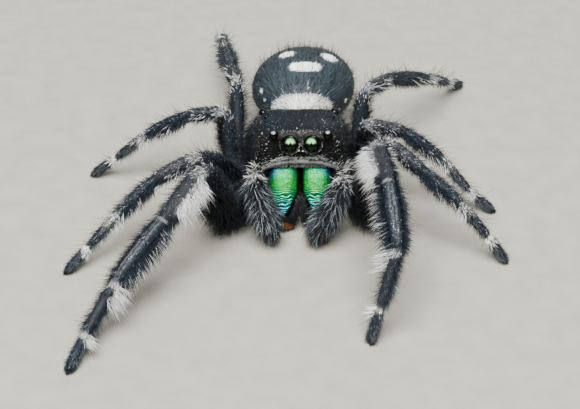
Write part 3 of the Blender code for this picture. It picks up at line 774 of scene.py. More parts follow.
def ground_with_painted_light(form, place, turn, mix):
    """The dark ground, from its deep to its light tone by a random share, with a painted sheen that makes it
    lighter on top, and painted shade on the hips and thighs of the legs.
    """
    deep, light = (linear(code) for code in GROUND[form.name.split("_")[0]][:2])
    light = np.broadcast_to(light, (len(place), 3))
    # Painted sheen: the light tone gathers on the top of each form, where the lamp above falls
    upper = 0.5 + 0.5 * np.cos(np.radians(turn))
    fall = 0.55 if form is abdomen else 1.6
    share = np.clip(mix * (0.12 + 0.88 * upper**fall), 0, 1)[:, None]
    if form is carapace:
        blue = (between(place, -2.66, -1.1, 0.16) * between(np.abs(turn), -1, 42, 9))[:, None]
        brown = (between(place, -2.865, -2.79, 0.012) * between(np.abs(turn), -1, 50, 5))[:, None]
        light = light * (1 - blue) + HEAD_BLUE * blue
        light = light * (1 - brown) + HEAD_BROWN * brown
        share = np.maximum(share, brown * mix[:, None])
    if form.name.startswith("leg"):
        # Painted shade: the hips and thighs keep less of the light tone, for the shade under the body and
        # between the legs
        share = share * (1.0 - 0.4 * between(place, -1.0, 1.92, 0.03))[:, None]
        taupe = (0.7 * between(place, 2.25, 2.97, 0.05) + 0.5 * between(place, 4.1, 5.0, 0.05))[:, None]
        light = light * (1 - taupe) + PATELLA_TAUPE * taupe
    return deep * (1 - share) + light * share


def hair_colours(form, place, turn, rng):
    """Each hair is white by chance, as often as its place is white. A few dark ones are lighter flecks."""
    chance, fleck = GROUND[form.name.split("_")[0]][2:]
    white = rng.random(len(place)) < whiteness(form, place, turn)
    flecked = rng.random(len(place)) < chance
    ground = ground_with_painted_light(form, place, turn, rng.random(len(place)) ** 1.3)
    flecks = linear(fleck) * rng.uniform(0.3, 1.0, len(place))[:, None]
    ground = np.where(flecked[:, None], flecks, ground)
    pale = SCALE_WHITE * rng.uniform(0.84, 1.0, len(place))[:, None]
    return np.where(white[:, None], pale, ground)


print("markings written for", len(all_forms), "forms")

# %% [markdown]
# ## The skin
# Each form is drawn out from a circle: its edge is extruded ring after ring, and each new ring is set on its
# section. A roll is added round each eye, a mound under each small one, and a ball for the waist. All of it
# is joined and remeshed with voxels of a twelfth of a millimetre, which melts the joints together, so that
# head, legs and abdomen become one surface with no seam. The work is done at a thousand times the size,
# because the remesher has a smallest voxel.


# %% Draw out the forms and melt them into one skin
def take_up(piece):
    bpy.ops.object.select_all(action="DESELECT")
    piece.select_set(True)
    bpy.context.view_layer.objects.active = piece


def drawn_out(name, rings):
    """A closed body, extruded from a circle ring after ring."""
    sides = rings.shape[1]
    bpy.ops.object.select_all(action="DESELECT")
    bpy.ops.mesh.primitive_circle_add(vertices=sides, radius=1.0, fill_type="NGON")
    piece = bpy.context.object
    piece.name = name
    bpy.ops.object.mode_set(mode="EDIT")
    for number, ring in enumerate(rings):
        if number:
            bpy.ops.mesh.extrude_region_move()
        cage = bmesh.from_edit_mesh(piece.data)
        cage.verts.ensure_lookup_table()
        moving = [vertex for vertex in cage.verts if vertex.select]
        if number == 0:
            rank = {vertex.index: i for i, vertex in enumerate(moving)}
            places = {vertex: rank[vertex.index] for vertex in moving}
        else:
            places = {}
            for vertex in moving:
                for edge in vertex.link_edges:
                    other = edge.other_vert(vertex)
                    if not other.select:
                        places[vertex] = order[other.index]
        for vertex, i in places.items():
            vertex.co = ring[i]
        cage.verts.index_update()
        order = {vertex.index: i for vertex, i in places.items()}
        bmesh.update_edit_mesh(piece.data)
    bpy.ops.mesh.select_all(action="SELECT")
    bpy.ops.mesh.normals_make_consistent(inside=False)
    bpy.ops.object.mode_set(mode="OBJECT")
    return piece


def to_metres(piece):
    take_up(piece)
    bpy.ops.transform.resize(value=(MM, MM, MM), center_override=(0, 0, 0))
    bpy.ops.object.transform_apply(location=True, rotation=True, scale=True)


def thinned(rings, stride):
    """Every few rings, and always the last."""
    keep = np.unique(np.append(np.arange(0, len(rings), stride), len(rings) - 1))
    return rings[keep]


SKIN_VOXEL = 0.085
SKIN_STRIDE = 3
SMOOTH_SHARE = 0.5
SMOOTH_ROUNDS = 3
WAIST_PLACE = (0.12, 2.5, 1.45)
WAIST_RADIUS = 0.55
# Depth and radius of the roll and of the mound at a lens, in radii of the lens
ROLL_DEPTH = 0.42
ROLL_RADIUS = 0.98
MOUND_DEPTH = 0.9
MOUND_RADIUS = 1.25
# The CAD's lenses stand clear of each other and of their seat. On the animal the great ones are larger and
# further apart, and both front pairs sit higher, by this much: outward, up, and radius.
EYE_TRIM = {"eye_front_middle": (0.06, 0.06, 0.042), "eye_front_side": (0.0, 0.08, 0.0)}
# The way that each lens faces in the level animal, on its left side
EYE_OUTWARD = {
    "eye_front_middle": (0.06, -1.0, 0.05),
    "eye_front_side": (0.42, -1.0, 0.26),
    "eye_small": (0.64, -0.12, 0.76),
    "eye_rear": (0.76, 0.05, 0.65),
}
HANDS = (("right", -1), ("left", 1))


def points_of(mesh):
    points = np.empty(len(mesh.vertices) * 3)
    mesh.vertices.foreach_get("co", points)
    return points.reshape(-1, 3)


def store_colours(mesh, name, colours):
    """Stores a colour for each point of a mesh."""
    values = np.ones((len(colours), 4))
    values[:, :3] = colours
    mesh.attributes.new(name, "FLOAT_COLOR", "POINT").data.foreach_set("color", values.ravel())


def ball_of(node):
    """Centre and radius, in millimetres, of the ball that a CAD eye's points lie on."""
    points = points_of(frame["nodes"][node].data) / MM
    ones = np.ones((len(points), 1))
    answer = np.linalg.lstsq(np.hstack((2 * points, ones)), (points**2).sum(axis=1), rcond=None)[0]
    centre = answer[:3]
    return centre, math.sqrt(answer[3] + centre @ centre)


eyes = {}
for eye, (x, y, z) in EYE_OUTWARD.items():
    outward, rise, growth = EYE_TRIM.get(eye, (0.0, 0.0, 0.0))
    for hand, side in HANDS:
        centre, radius = ball_of(f"{eye}_{hand}")
        centre = centre + np.array((side * outward, 0.0, rise))
        eyes[f"{eye}_{hand}"] = (centre, radius + growth, body_way((side * x, y, z)))


def turned_to(facing):
    """The turn that points a piece's own upward way along the given one."""
    return Vector((0, 0, 1)).rotation_difference(Vector(facing)).to_euler()


def eye_mound(centre, radius, facing):
    """A ball under a rear lens, which the remesh melts into a low swelling on the corner of the head."""
    bpy.ops.object.select_all(action="DESELECT")
    seat = Vector(centre - facing * radius * MOUND_DEPTH)
    size = radius * MOUND_RADIUS
    bpy.ops.mesh.primitive_uv_sphere_add(segments=18, ring_count=12, radius=size, location=seat)
    return bpy.context.object


def eye_roll(centre, radius, facing):
    """The raised roll of skin that a lens sits in."""
    bpy.ops.object.select_all(action="DESELECT")
    bpy.ops.mesh.primitive_torus_add(
        location=Vector(centre - facing * radius * ROLL_DEPTH),
        rotation=turned_to(facing),
        major_radius=radius * ROLL_RADIUS,
        minor_radius=0.05 + 0.08 * radius,
        major_segments=28,
        minor_segments=10,
    )
    return bpy.context.object


def waist_ball():
    """Joins the front half to the abdomen."""
    place = Vector(WAIST_PLACE) + Vector(CENTRE_SHIFT)
    bpy.ops.mesh.primitive_uv_sphere_add(segments=16, ring_count=10, radius=WAIST_RADIUS, location=place)
    return bpy.context.object


def run_modifier(piece, kind, **settings):
    """Adds a modifier, sets it and applies it."""
    bpy.ops.object.modifier_add(type=kind)
    modifier = piece.modifiers[-1]
    for key, value in settings.items():
        setattr(modifier, key, value)
    bpy.ops.object.modifier_apply(modifier=modifier.name)


def melt_skin():
    parts = [drawn_out(form.name, thinned(form.rings, SKIN_STRIDE)) for form in all_forms]
    for name, (centre, radius, facing) in eyes.items():
        parts.append(eye_roll(centre, radius, facing))
        if not name.startswith("eye_front"):
            parts.append(eye_mound(centre, radius, facing))
    parts.append(waist_ball())
    for part in parts:
        part.select_set(True)
    bpy.context.view_layer.objects.active = parts[0]
    bpy.ops.object.join()
    skin = bpy.context.object
    skin.name = "spider_skin"
    take_up(skin)
    run_modifier(skin, "REMESH", mode="VOXEL", voxel_size=SKIN_VOXEL)
    run_modifier(skin, "SMOOTH", factor=SMOOTH_SHARE, iterations=SMOOTH_ROUNDS)
    bpy.ops.object.shade_smooth()
    return skin


skin = melt_skin()
print("skin:", len(skin.data.vertices), "points,", len(skin.data.polygons), "faces")

# %% [markdown]
# ## Colour on the skin
# A nearest-place search carries the markings from the forms to the skin: each of its points takes the colour
# of the closest place of any form. The colour is stored on the mesh, so it holds from every side.

# %% Store the markings on the skin
COLOUR_LAYER = "coat_colour"
# The skin takes this share of the ground's light tone, and shows through white scales a little darker
SKIN_MIX = 0.25
SKIN_WHITE = 0.85 * SCALE_WHITE


def form_samples():
    points, colours = [], []
    for form in all_forms:
        rows, columns = form.rings.shape[:2]
        place = np.repeat(form.places, columns)
        turn = np.tile(form.turn_of(np.arange(columns)), rows)
        white = np.clip(whiteness(form, place, turn), 0, 1)[:, None]
        ground = ground_with_painted_light(form, place, turn, np.full(len(place), SKIN_MIX))
        points.append(form.rings.reshape(-1, 3))
        colours.append(ground * (1 - white) + SKIN_WHITE * white)
    return np.concatenate(points), np.concatenate(colours)


def colour_skin():
    points, colours = form_samples()
    tree = kdtree.KDTree(len(points))
    for i, point in enumerate(points):
        tree.insert(point, i)
    tree.balance()
    nearest = [tree.find(vertex.co)[1] for vertex in skin.data.vertices]
    store_colours(skin.data, COLOUR_LAYER, colours[nearest])


colour_skin()
to_metres(skin)
print("skin coloured; size in mm:", [round(v / MM, 2) for v in skin.dimensions])

# %% [markdown]
# ## The finish of the skin
# A jumping spider's cuticle is dark chitin, half hidden by scales and hairs. It is given the markings as its
# colour, broken by a fine noise of about a tenth of a millimetre, and a bump of the size of hair roots.


# %% Cuticle material
def cuticle_material():
    numbers = {"Roughness": 0.5, "IOR": 1.56, "Specular IOR Level": 0.10}
    material, shader = new_material("hairy_black_cuticle", numbers)
    colour = add_node(material, "Attribute", output="Color", attribute_name=COLOUR_LAYER)
    pores = grain(material, 9000.0, 4.0)
    shade = remap(material, pores, 0.0, 1.0, 0.55, 1.45)
    feed(material, shader, "Base Color", scaled(material, colour, shade))
    feed(material, shader, "Normal", raised(material, pores, 0.6, 0.00003))
    return material


skin.data.materials.clear()
skin.data.materials.append(cuticle_material())
SKIN_NODES = ["cephalothorax", "abdomen"]
for leg in LEG_POSES:
    SKIN_NODES += [f"leg_{leg}_{part}" for part in ("femur", "shank", "foot")]
for hand in ("left", "right"):
    SKIN_NODES += [f"palp_{hand}_arm", f"palp_{hand}_forearm"]
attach(skin, "root")
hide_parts(*SKIN_NODES)
print("the skin stands for", len(SKIN_NODES), "nodes")

# %% [markdown]
# ## The eyes
# A jumping spider's lenses are smooth clear domes over black chambers, so they are near-black gloss, and the
# front pairs throw back a gleam: green in the great eyes, grey in their neighbours. That gleam is a painted
# highlight in the colour of the lens, a painted reflection of the lamp above, in the upper half of each front
# lens as the camera sees it. Each lens is a fine ball in the place of the CAD lens, sunk in its roll of skin.


# %% Eight lenses
# Each lens stores its colour: black, with a painted highlight on the front lenses
PAINTED_HIGHLIGHT_LAYER = "lens_gleam"
LENS_BLACK = linear("#020303")
# Tone at the top and at the lower edge of a painted highlight
GREAT_EYE_PAINTED_HIGHLIGHT = (linear("#1f8f3c"), linear("#a6e698"))
SIDE_EYE_PAINTED_HIGHLIGHT = (linear("#5a6673"), linear("#ccd7e2"))
LENS_SEGMENTS = 72
LENS_RINGS = 44
sight_basis = np.array(camera.matrix_world.to_3x3())


def oval(across, up, width, height, edge):
    """1 inside an oval round the middle, and the sharper at its edge the larger the last number is."""
    return step((1.0 - np.hypot(across / width, up / height)) * edge)


def painted_highlight_colours(points, centre, radius, great, side):
    """A painted highlight: a half moon in the upper half of a lens as the camera sees it, with a notch in its
    lower edge.
    """
    across, up, facing = (((points - centre) / radius) @ sight_basis).T
    if great:
        beside = across + 0.10 * side
        lower = 0.07 + 0.15 * np.exp(-((beside / 0.09) ** 2)) + 0.05 * np.cos(16.0 * beside)
        moon = oval(beside, up, 0.47, 0.60, 14) * step((up - lower) * 26)
        tones = GREAT_EYE_PAINTED_HIGHLIGHT
    else:
        moon = oval(across + 0.05, up - 0.44, 0.36, 0.24, 6)
        tones = SIDE_EYE_PAINTED_HIGHLIGHT
    moon = (moon * (facing > 0.1))[:, None]
    rise = np.clip(up * 1.5, 0, 1)[:, None]
    return LENS_BLACK * (1 - moon) + (tones[1] * (1 - rise) + tones[0] * rise) * moon


lens_numbers = {"Roughness": 0.04, "IOR": 1.45, "Specular IOR Level": 0.22}
lens_finish = layer_material("dark_lens_with_gleam", PAINTED_HIGHLIGHT_LAYER, lens_numbers)


def make_lens(name):
    centre, radius, facing = eyes[name]
    bpy.ops.object.select_all(action="DESELECT")
    bpy.ops.mesh.primitive_uv_sphere_add(
        segments=LENS_SEGMENTS,
        ring_count=LENS_RINGS,
        radius=radius,
        location=Vector(centre),
        rotation=turned_to(facing),
    )
    lens = bpy.context.object
    lens.name = "lens_" + name
    bpy.ops.object.shade_smooth()
    bpy.ops.object.transform_apply(location=True, rotation=True, scale=True)
    points = points_of(lens.data)
    colours = np.tile(LENS_BLACK, (len(points), 1))
    if name.startswith("eye_front"):
        side = -1 if name.endswith("right") else 1
        colours = painted_highlight_colours(points, centre, radius, "middle" in name, side)
    store_colours(lens.data, PAINTED_HIGHLIGHT_LAYER, colours)
    to_metres(lens)
    lens.data.materials.append(lens_finish)
    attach(lens, "root")
    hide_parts(name)
    return lens


lenses = [make_lens(name) for name in eyes]
print(len(lenses), "lenses, radii in mm:", sorted({round(eyes[name][1], 3) for name in eyes}))

# %% [markdown]
# ## The jaws
# The two jaw bases carry the animal's brightest colour, a metallic green that comes from thin layers in the
# chitin. They are stout, straight barrels that bulge forward, with fine wavy ridges across their lower half.
# Each is drawn out from the CAD model's sections in finer steps, and each of its points remembers how far
# out to the side and how far down it lies, which the colour follows.

# %% Jaw bases and fangs
CHELICERA_TOP = (0.745, -2.30, 0.50)
CHELICERA_LEAN = math.radians(9.0)
CHELICERA_SECTIONS = (
    (0.00, 0.42, 0.40),
    (0.10, 0.55, 0.55),
    (0.45, 0.60, 0.66),
    (0.95, 0.60, 0.68),
    (1.45, 0.55, 0.60),
    (1.90, 0.45, 0.48),
    (2.20, 0.33, 0.36),
    (2.33, 0.20, 0.22),
    (2.36, 0.02, 0.02),
)
JAW_LENGTH = 2.35
JAW_SQUARENESS = 2.3
JAW_RINGS = 60
JAW_FACETS = 40
JAW_LAYER = "jaw_place"
# The jaws meet more closely in the photograph than the solids may.
JAW_SPREAD = 0.08
FANG_GAP = 0.15
FANG_RADIUS = 0.25
FANG_REACH = 0.68
FANG_HEADING = 12.0
FANG_BEND = 30.0
FANG_SETBACK = 0.16
FANG_TAPER = 0.84
FANG_RINGS = 18
FANG_FACETS = 20


def jaw_frame(side):
    """The top of a jaw, and its ways down and forward."""
    down = body_way((0.0, -math.sin(CHELICERA_LEAN), -math.cos(CHELICERA_LEAN)))
    forward = unit(np.cross((1.0, 0.0, 0.0), down))
    if forward[1] > 0:
        forward = -forward
    x, y, z = CHELICERA_TOP
    return body_point((side * x, y, z)), down, forward


def jaw_form(name, side):
    top, down, forward = jaw_frame(side)
    places = np.linspace(0.0, CHELICERA_SECTIONS[-1][0], JAW_RINGS)
    wide, deep = soft_values(CHELICERA_SECTIONS, places, 0.06).T
    wide = wide + JAW_SPREAD
    wide[-1], deep[-1] = CHELICERA_SECTIONS[-1][1:]
    across, front = rounded(ring_turns(JAW_FACETS), JAW_SQUARENESS, JAW_SQUARENESS)
    middles = top + down * places[:, None]
    rings = middles[:, None, :] + forward * (deep[:, None] * front)[:, :, None]
    rings = rings + np.array((side, 0.0, 0.0)) * (wide[:, None] * across)[:, :, None]
    return Form(name, rings, middles, places, (0.81 + 0.045 * (side + 1), 0.40, 0.08, 0.11))


def make_jaw(hand, side):
    form = jaw_form("jaw_" + hand, side)
    jaw = drawn_out("jaw_" + hand, form.rings)
    take_up(jaw)
    bpy.ops.object.shade_smooth()
    top, down, forward = jaw_frame(side)
    layer = jaw.data.attributes.new(JAW_LAYER, "FLOAT_VECTOR", "POINT")
    reach = points_of(jaw.data) - top
    values = np.stack((reach[:, 0] * side, reach @ down, reach @ forward), axis=-1)
    layer.data.foreach_set("vector", values.ravel())
    to_metres(jaw)
    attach(jaw, "root")
    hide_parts("chelicera_" + hand)
    return jaw, form


def make_fang(hand, side):
    """A horn that leaves the end of its jaw inward and curves back to a point."""
    top, down, forward = jaw_frame(side)
    inward = np.array((-side, 0.0, 0.0))
    root = top + down * (JAW_LENGTH + FANG_GAP + FANG_RADIUS) - inward * 0.12
    angles = ring_turns(FANG_FACETS)[:, None]
    rings = []
    for share in np.linspace(-0.12, 1.0, FANG_RINGS):
        turn = math.radians(FANG_HEADING + FANG_BEND * max(share, 0.0))
        middle = root + inward * FANG_REACH * share - forward * FANG_SETBACK * share**2
        middle = middle + down * 0.05 * math.sin(math.pi * max(share, 0.0))
        heading = unit(inward * math.cos(turn) - forward * math.sin(turn))
        across = unit(np.cross(heading, down))
        radius = FANG_RADIUS * (1.0 - FANG_TAPER * max(share, 0.0) ** 1.2)
        radius *= math.sqrt(max(0.02, 1.0 - (min(share, 0.0) / 0.125) ** 2))
        rings.append(middle + radius * (across * np.cos(angles) + down * np.sin(angles)))
    fang = drawn_out("fang_horn_" + hand, np.array(rings))
    take_up(fang)
    bpy.ops.object.shade_smooth()
    to_metres(fang)
    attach(fang, "root")
    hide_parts("fang_" + hand)
    return fang


jaws, jaw_forms, fangs = [], [], []
for hand, side in HANDS:
    jaw, form = make_jaw(hand, side)
    jaws.append(jaw)
    jaw_forms.append(form)
    fangs.append(make_fang(hand, side))
print("two jaws of", len(jaws[0].data.polygons), "faces and two fangs")

# %% [markdown]
# ## The green of the jaws
# Interference colour shifts with the thickness of the layers, so the jaws run from green at their root and
# middle to turquoise and blue towards the fang and at their outer top, and go dark by the midline. Speckles
# of gold and azure are painted glints, standing for single scales that catch the light. A metal shader with a
# colour ramp gives this.

# %% Jaw and fang materials
JAW_BANDS = (
    (0.0, "#0a8f5c"),
    (0.16, "#0cb058"),
    (0.34, "#1cbc40"),
    (0.48, "#10bc5a"),
    (0.66, "#0cba92"),
    (0.82, "#0aaab8"),
    (0.95, "#0a6292"),
)
JAW_BLUE = "#1f5cb8"
# Gold and azure of single scales, painted glints
JAW_GOLD_PAINTED_GLINT = "#b4b22a"
JAW_AZURE_PAINTED_GLINT = "#0b7f9c"
JAW_TROUGH = "#062f4a"
JAW_BLACK = "#0b0f0f"
RIDGE_SPACING = 0.125


def jaw_material():
    material, shader = new_material("iridescent_green_chitin", {"Metallic": 1.0, "Roughness": 0.50})
    place = add_node(material, "Attribute", output="Vector", attribute_name=JAW_LAYER)
    parts = add_node(material, "SeparateXYZ", {"Vector": place}).node.outputs
    out, down, forward = parts["X"], parts["Y"], parts["Z"]
    # Bands of green from the root to the fang, with ragged edges
    inputs = {"Vector": place, "Scale": 11.0, "Detail": 4.0, "Roughness": 0.7}
    fine = add_node(material, "TexNoise", inputs, "Fac")
    level = calculate(material, "ADD", down, remap(material, fine, 0.0, 1.0, -0.75, 0.75))
    colour = colour_ramp(material, calculate(material, "DIVIDE", level, JAW_LENGTH), JAW_BANDS)
    # The outer top corner turns blue
    outward = calculate(material, "SUBTRACT", out, down)
    colour = tinted(material, colour, remap(material, outward, -0.22, 0.58, kind="SMOOTHSTEP"), JAW_BLUE)
    # Single scales, a twentieth of a millimetre wide, each with a tone of its own, and the gold and azure ones
    # are painted glints
    scales = add_node(material, "TexVoronoi", {"Vector": place, "Scale": 21.0}, "Color")
    chances = add_node(material, "SeparateColor", {"Color": scales}).node.outputs
    colour = tinted(material, colour, remap(material, chances["Red"], 0.80, 0.96, 0.0, 0.34), JAW_GOLD_PAINTED_GLINT)
    colour = tinted(material, colour, remap(material, chances["Green"], 0.76, 0.96, 0.0, 0.60), JAW_AZURE_PAINTED_GLINT)
    colour = scaled(material, colour, remap(material, chances["Blue"], 0.0, 1.0, 0.60, 1.25))
    # Wavy ridges across the lower half
    waves = add_node(material, "TexNoise", {"Vector": place, "Scale": 2.8, "Detail": 0.5}, "Fac")
    swing = calculate(material, "MULTIPLY_ADD", waves, 0.36, down)
    phase = calculate(material, "MULTIPLY", swing, 2.0 * math.pi / RIDGE_SPACING)
    ridges = calculate(material, "SINE", phase)
    low = remap(material, down, 0.85, 1.45, kind="SMOOTHSTEP")
    trough = calculate(material, "MULTIPLY", remap(material, ridges, 0.1, -0.8, 0.0, 0.8), low)
    colour = tinted(material, colour, trough, JAW_TROUGH)
    # The green ends along a line that leaves the inner edge and crosses to the fang, and on the back
    line = remap(material, down, 1.15, JAW_LENGTH, -0.58, 0.10)
    inside = remap(material, calculate(material, "SUBTRACT", line, out), -0.06, 0.08, kind="SMOOTHSTEP")
    behind = remap(material, forward, 0.10, -0.10, kind="SMOOTHSTEP")
    colour = tinted(material, colour, calculate(material, "MAXIMUM", inside, behind), JAW_BLACK)
    feed(material, shader, "Base Color", colour)
    height = calculate(material, "ADD", calculate(material, "MULTIPLY", ridges, low), fine)
    feed(material, shader, "Normal", raised(material, height, 0.7, 0.00006))
    return material


def fang_material():
    material, shader = new_material("dark_amber_horn", {"Roughness": 0.22, "IOR": 1.56})
    tone = colour_ramp(material, grain(material, 1500.0, 2.0), ((0.40, "#0a0604"), (0.60, "#6f3812")))
    feed(material, shader, "Base Color", tone)
    return material


jaw_finish = jaw_material()
fang_finish = fang_material()
for jaw, fang in zip(jaws, fangs):
    jaw.data.materials.append(jaw_finish)
    fang.data.materials.append(fang_finish)
print("jaws and fangs finished")

# %% [markdown]
# ## Hairs as small solid blades
# Every hair is a closed blade with three sides: a small triangle at its root, one or two rings on the way,
# and a point. Short hairs have no ring between. Thousands of them are planted at random places on a form and
# joined into one mesh, so each planting only says where, how long, how steep and of what colour. Hairs that
# would leave the model's box or enter the floor are shortened.

# %% The coat: planting hairs and joining them
HAIR_LOW = np.array((cad_low[0] - 0.10, cad_low[1] - 0.14, 0.02))
HAIR_HIGH = np.array((cad_high[0] + 0.10, cad_high[1] + 0.14, cad_high[2] + 0.06))
# A hair with less room than this share of its length is left out
LEAST_ROOM = 0.25
RING_SIZES = {1: (1.0,), 2: (1.0, 0.72), 3: (1.0, 0.84, 0.52)}
CORNER_TURNS = [math.radians(angle) for angle in (90.0, 210.0, 330.0)]
BLADE_FLATNESS = 0.55
ROOT_DEPTH = 0.02
PATCH_SIZE = 0.0015
# Powers above 1 make short hairs and dark tones the more common ones
LENGTH_POWER = 1.4
TONE_POWER = 1.5
WIDTH_RANGE = (0.75, 1.2)


class Coat:
    """One joined piece of hairs. Its count of rings is the same for all of its hairs."""

    def __init__(self, name, rings):
        self.name = name
        self.rings = rings
        self.plots = []

    def plant(
        self, form, where, count, length, width, lift, seed, sweep=(0, 12), tones=None, hang=0.0, press=0.1
    ):
        """Plants hairs on a form. Angles are in degrees: lift is off the surface, sweep is to the side."""
        rng = np.random.default_rng(seed)
        row, column = form.scatter(count, where, rng)
        root = form.look_up(form.rings, row, column)
        out = unit(form.look_up(form.out, row, column))
        along = unit(form.look_up(form.along, row, column))
        beside = np.cross(out, along)
        rise = np.radians(rng.uniform(lift[0], lift[1], count))[:, None]
        aside = np.radians(rng.normal(sweep[0], sweep[1], count))[:, None]
        way = np.cos(rise) * (np.cos(aside) * along + np.sin(aside) * beside) + np.sin(rise) * out
        reach = length[0] + (length[1] - length[0]) * rng.random(count) ** LENGTH_POWER
        bend = -out * press - np.array((0.0, 0.0, hang))
        if tones is None:
            colour = hair_colours(form, form.place_of(row), form.turn_of(column), rng)
        else:
            colour = mixed_tones(tones, rng.random(count))
        thick = width * rng.uniform(*WIDTH_RANGE, count)
        self.lay(root - out * ROOT_DEPTH, way, bend, reach, thick, colour, form.patch_at(row, column), out)

    def lay(self, root, way, bend, reach, thick, colour, patch, out):
        """Keeps the hairs that have room in the model's box, shortened to it."""
        span = reach[:, None] * (way + bend)
        room = np.maximum(np.where(span > 0, HAIR_HIGH - root, root - HAIR_LOW), 0.0)
        share = np.clip(np.min(room / np.maximum(np.abs(span), 1e-6), axis=1), 0.0, 1.0)
        plot = (root, way, bend, reach * share, thick, colour, patch, out)
        self.plots.append([part[share > LEAST_ROOM] for part in plot])

    def sew(self, material):
        """Joins all hairs into one piece."""
        joined = [np.concatenate(part) for part in zip(*self.plots)]
        root, way, bend, reach, thick, colour, patch, out = joined
        side = unit(np.cross(out, way) + 1e-6)
        face = unit(np.cross(way, side))
        points = []
        for number, size in enumerate(RING_SIZES[self.rings]):
            share = number / self.rings
            middle = root + reach[:, None] * (way * share + bend * share**2)
            for turn in CORNER_TURNS:
                corner = side * math.cos(turn) + face * math.sin(turn) * BLADE_FLATNESS
                points.append(middle + (0.5 * size * thick)[:, None] * corner)
        points.append(root + reach[:, None] * (way + bend))
        points = np.stack(points, axis=1)
        tip = 3 * self.rings
        faces = [(2, 1, 0)]
        for base in range(0, tip - 3, 3):
            for a, b in ((base, base + 1), (base + 1, base + 2), (base + 2, base)):
                faces += [(a, b, b + 3), (a, b + 3, a + 3)]
        faces += [(tip - 3, tip - 2, tip), (tip - 2, tip - 1, tip), (tip - 1, tip - 3, tip)]
        first_points = (tip + 1) * np.arange(len(root))
        corners = (np.array(faces)[None] + first_points[:, None, None]).reshape(-1, 3)
        spread = np.array([((i % 3) - 1.0, i // 3 / self.rings - 0.5) for i in range(tip)] + [(0.0, 0.5)])
        layout = (patch[:, None, :] + PATCH_SIZE * spread[None]).reshape(-1, 2)
        colours = np.repeat(colour, tip + 1, axis=0)
        return joined_piece(self.name, points.reshape(-1, 3) * MM, corners, layout, colours, material)


def joined_piece(name, points, corners, layout, colours, material):
    """One mesh of triangles, with its unwrap and a colour for each point."""
    mesh = bpy.data.meshes.new(name)
    mesh.vertices.add(len(points))
    mesh.vertices.foreach_set("co", points.ravel())
    mesh.loops.add(corners.size)
    mesh.loops.foreach_set("vertex_index", corners.ravel().astype(np.int32))
    mesh.polygons.add(len(corners))
    mesh.polygons.foreach_set("loop_start", np.arange(0, corners.size, 3, dtype=np.int32))
    mesh.update(calc_edges=True)
    mesh.uv_layers.new(name="OFBake").data.foreach_set("uv", layout[corners.ravel()].ravel())
    store_colours(mesh, COLOUR_LAYER, colours)
    mesh.materials.append(material)
    mesh.shade_smooth()
    piece = bpy.data.objects.new(name, mesh)
    bpy.context.scene.collection.objects.link(piece)
    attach(piece, "root")
    print(name, len(corners), "triangles")
    return piece


def mixed_tones(tones, chances):
    """A colour between two tones for each random number, more often near the first."""
    share = chances[:, None] ** TONE_POWER
    return linear(tones[0]) * (1 - share) + linear(tones[1]) * share


def sew_coat(name, rings, rows, material):
    """Makes one piece of coat from a table with a row for each planting."""
    coat = Coat(name, rings)
    for row in rows:
        coat.plant(*row)
    return coat.sew(material)


def everywhere(place, turn):
    return np.ones_like(place)


def zone(start, stop, soft, first=None, last=None, edge=6, mirrored=True):
    """Where to plant: between two places and between two turns, alike on both sides if mirrored."""

    def where(place, turn):
        share = between(place, start, stop, soft)
        if first is None:
            return share
        around = np.abs(turn) if mirrored else turn
        if last > 180:
            around = turn % 360.0
        return share * between(around, first, last, edge)

    return where


def hair_material(name, roughness, gloss):
    numbers = {"Roughness": roughness, "IOR": 1.55, "Specular IOR Level": gloss}
    return layer_material(name, COLOUR_LAYER, numbers)


hair_finish = hair_material("chitin_hair", 0.42, 0.25)
bristle_finish = hair_material("black_bristle", 0.30, 0.25)
scale_finish = hair_material("dull_head_scale", 0.50, 0.04)
print("three finishes for hair")

# %% [markdown]
# ## Scales and short pile
# The base of the coat lies flat. On the legs and the head it is made of narrow scales an eighth of a
# millimetre long, and on the abdomen of longer hairs, all pointing to the end of the body or to the foot.
# Dark hairs of the abdomen stay clear of its white marks. Each piece is sewn from a table of plantings.


# %% Plant the scales and the pile
def clear_of_marks(steps):
    """Where no white mark lies under a hair, looked at in steps ahead of its root."""

    def where(place, turn):
        ahead = sum(abdomen_white(place + 0.02 * number, turn) for number in range(steps))
        return np.clip(1.0 - 4.0 * ahead, 0.0, 1.0)

    return where


def on_marks(start, stop):
    """On the white marks from one place of the abdomen to another."""
    return lambda place, turn: abdomen_white(place, turn) ** 2 * ((place >= start) & (place < stop))


# In every table of plantings: form, where, count, length, width, lift, seed, sweep, tones, sag, press
leg_rows = []
for i, leg in enumerate(legs):
    front = leg.pair == 1
    counts = (7700, 330, 50) if front else (3700, 420, 200)
    on_top = zone(2.1, 3.95 if front else 4.95, 0.02, -1, 62)
    leg_rows += [
        (leg, zone(0.4, 6.1, 0.05), counts[0], (0.10, 0.19), 0.048, (8, 26), 100 + i, (0, 16)),
        (leg, on_top, counts[1], (0.10, 0.16), 0.050, (16, 34), 140 + i, (0, 20), ("#040506", "#0b0e11")),
        # Pale scales on the tops of the legs, painted glints
        (leg, on_top, counts[2], (0.09, 0.15), 0.042, (12, 30), 150 + i, (0, 20), ("#66717b", "#c2cad0")),
    ]
sew_coat("coat_scales_legs", 1, leg_rows, hair_finish)

BAND_END = 0.12
dark = clear_of_marks(1)
well_clear = clear_of_marks(5)
on_band = on_marks(0.0, BAND_END)
on_spots = on_marks(BAND_END, 1.0)
ABDOMEN_ROWS = (
    (abdomen, dark, 13600, (0.10, 0.17), 0.032, (6, 18), 119, (0, 8)),
    (abdomen, well_clear, 21000, (0.15, 0.30), 0.030, (7, 20), 120, (0, 8)),
    (abdomen, well_clear, 5200, (0.30, 0.60), 0.022, (8, 26), 124, (0, 6)),
    (abdomen, on_spots, 3200, (0.07, 0.12), 0.048, (5, 14), 128, (0, 8)),
    (abdomen, on_band, 3400, (0.14, 0.26), 0.036, (8, 20), 129, (0, 8)),
    (abdomen, on_band, 420, (0.20, 0.36), 0.024, (12, 26), 130, (0, 10), ("#14181b", "#596064")),
)
sew_coat("coat_pile_abdomen", 1, ABDOMEN_ROWS, hair_finish)

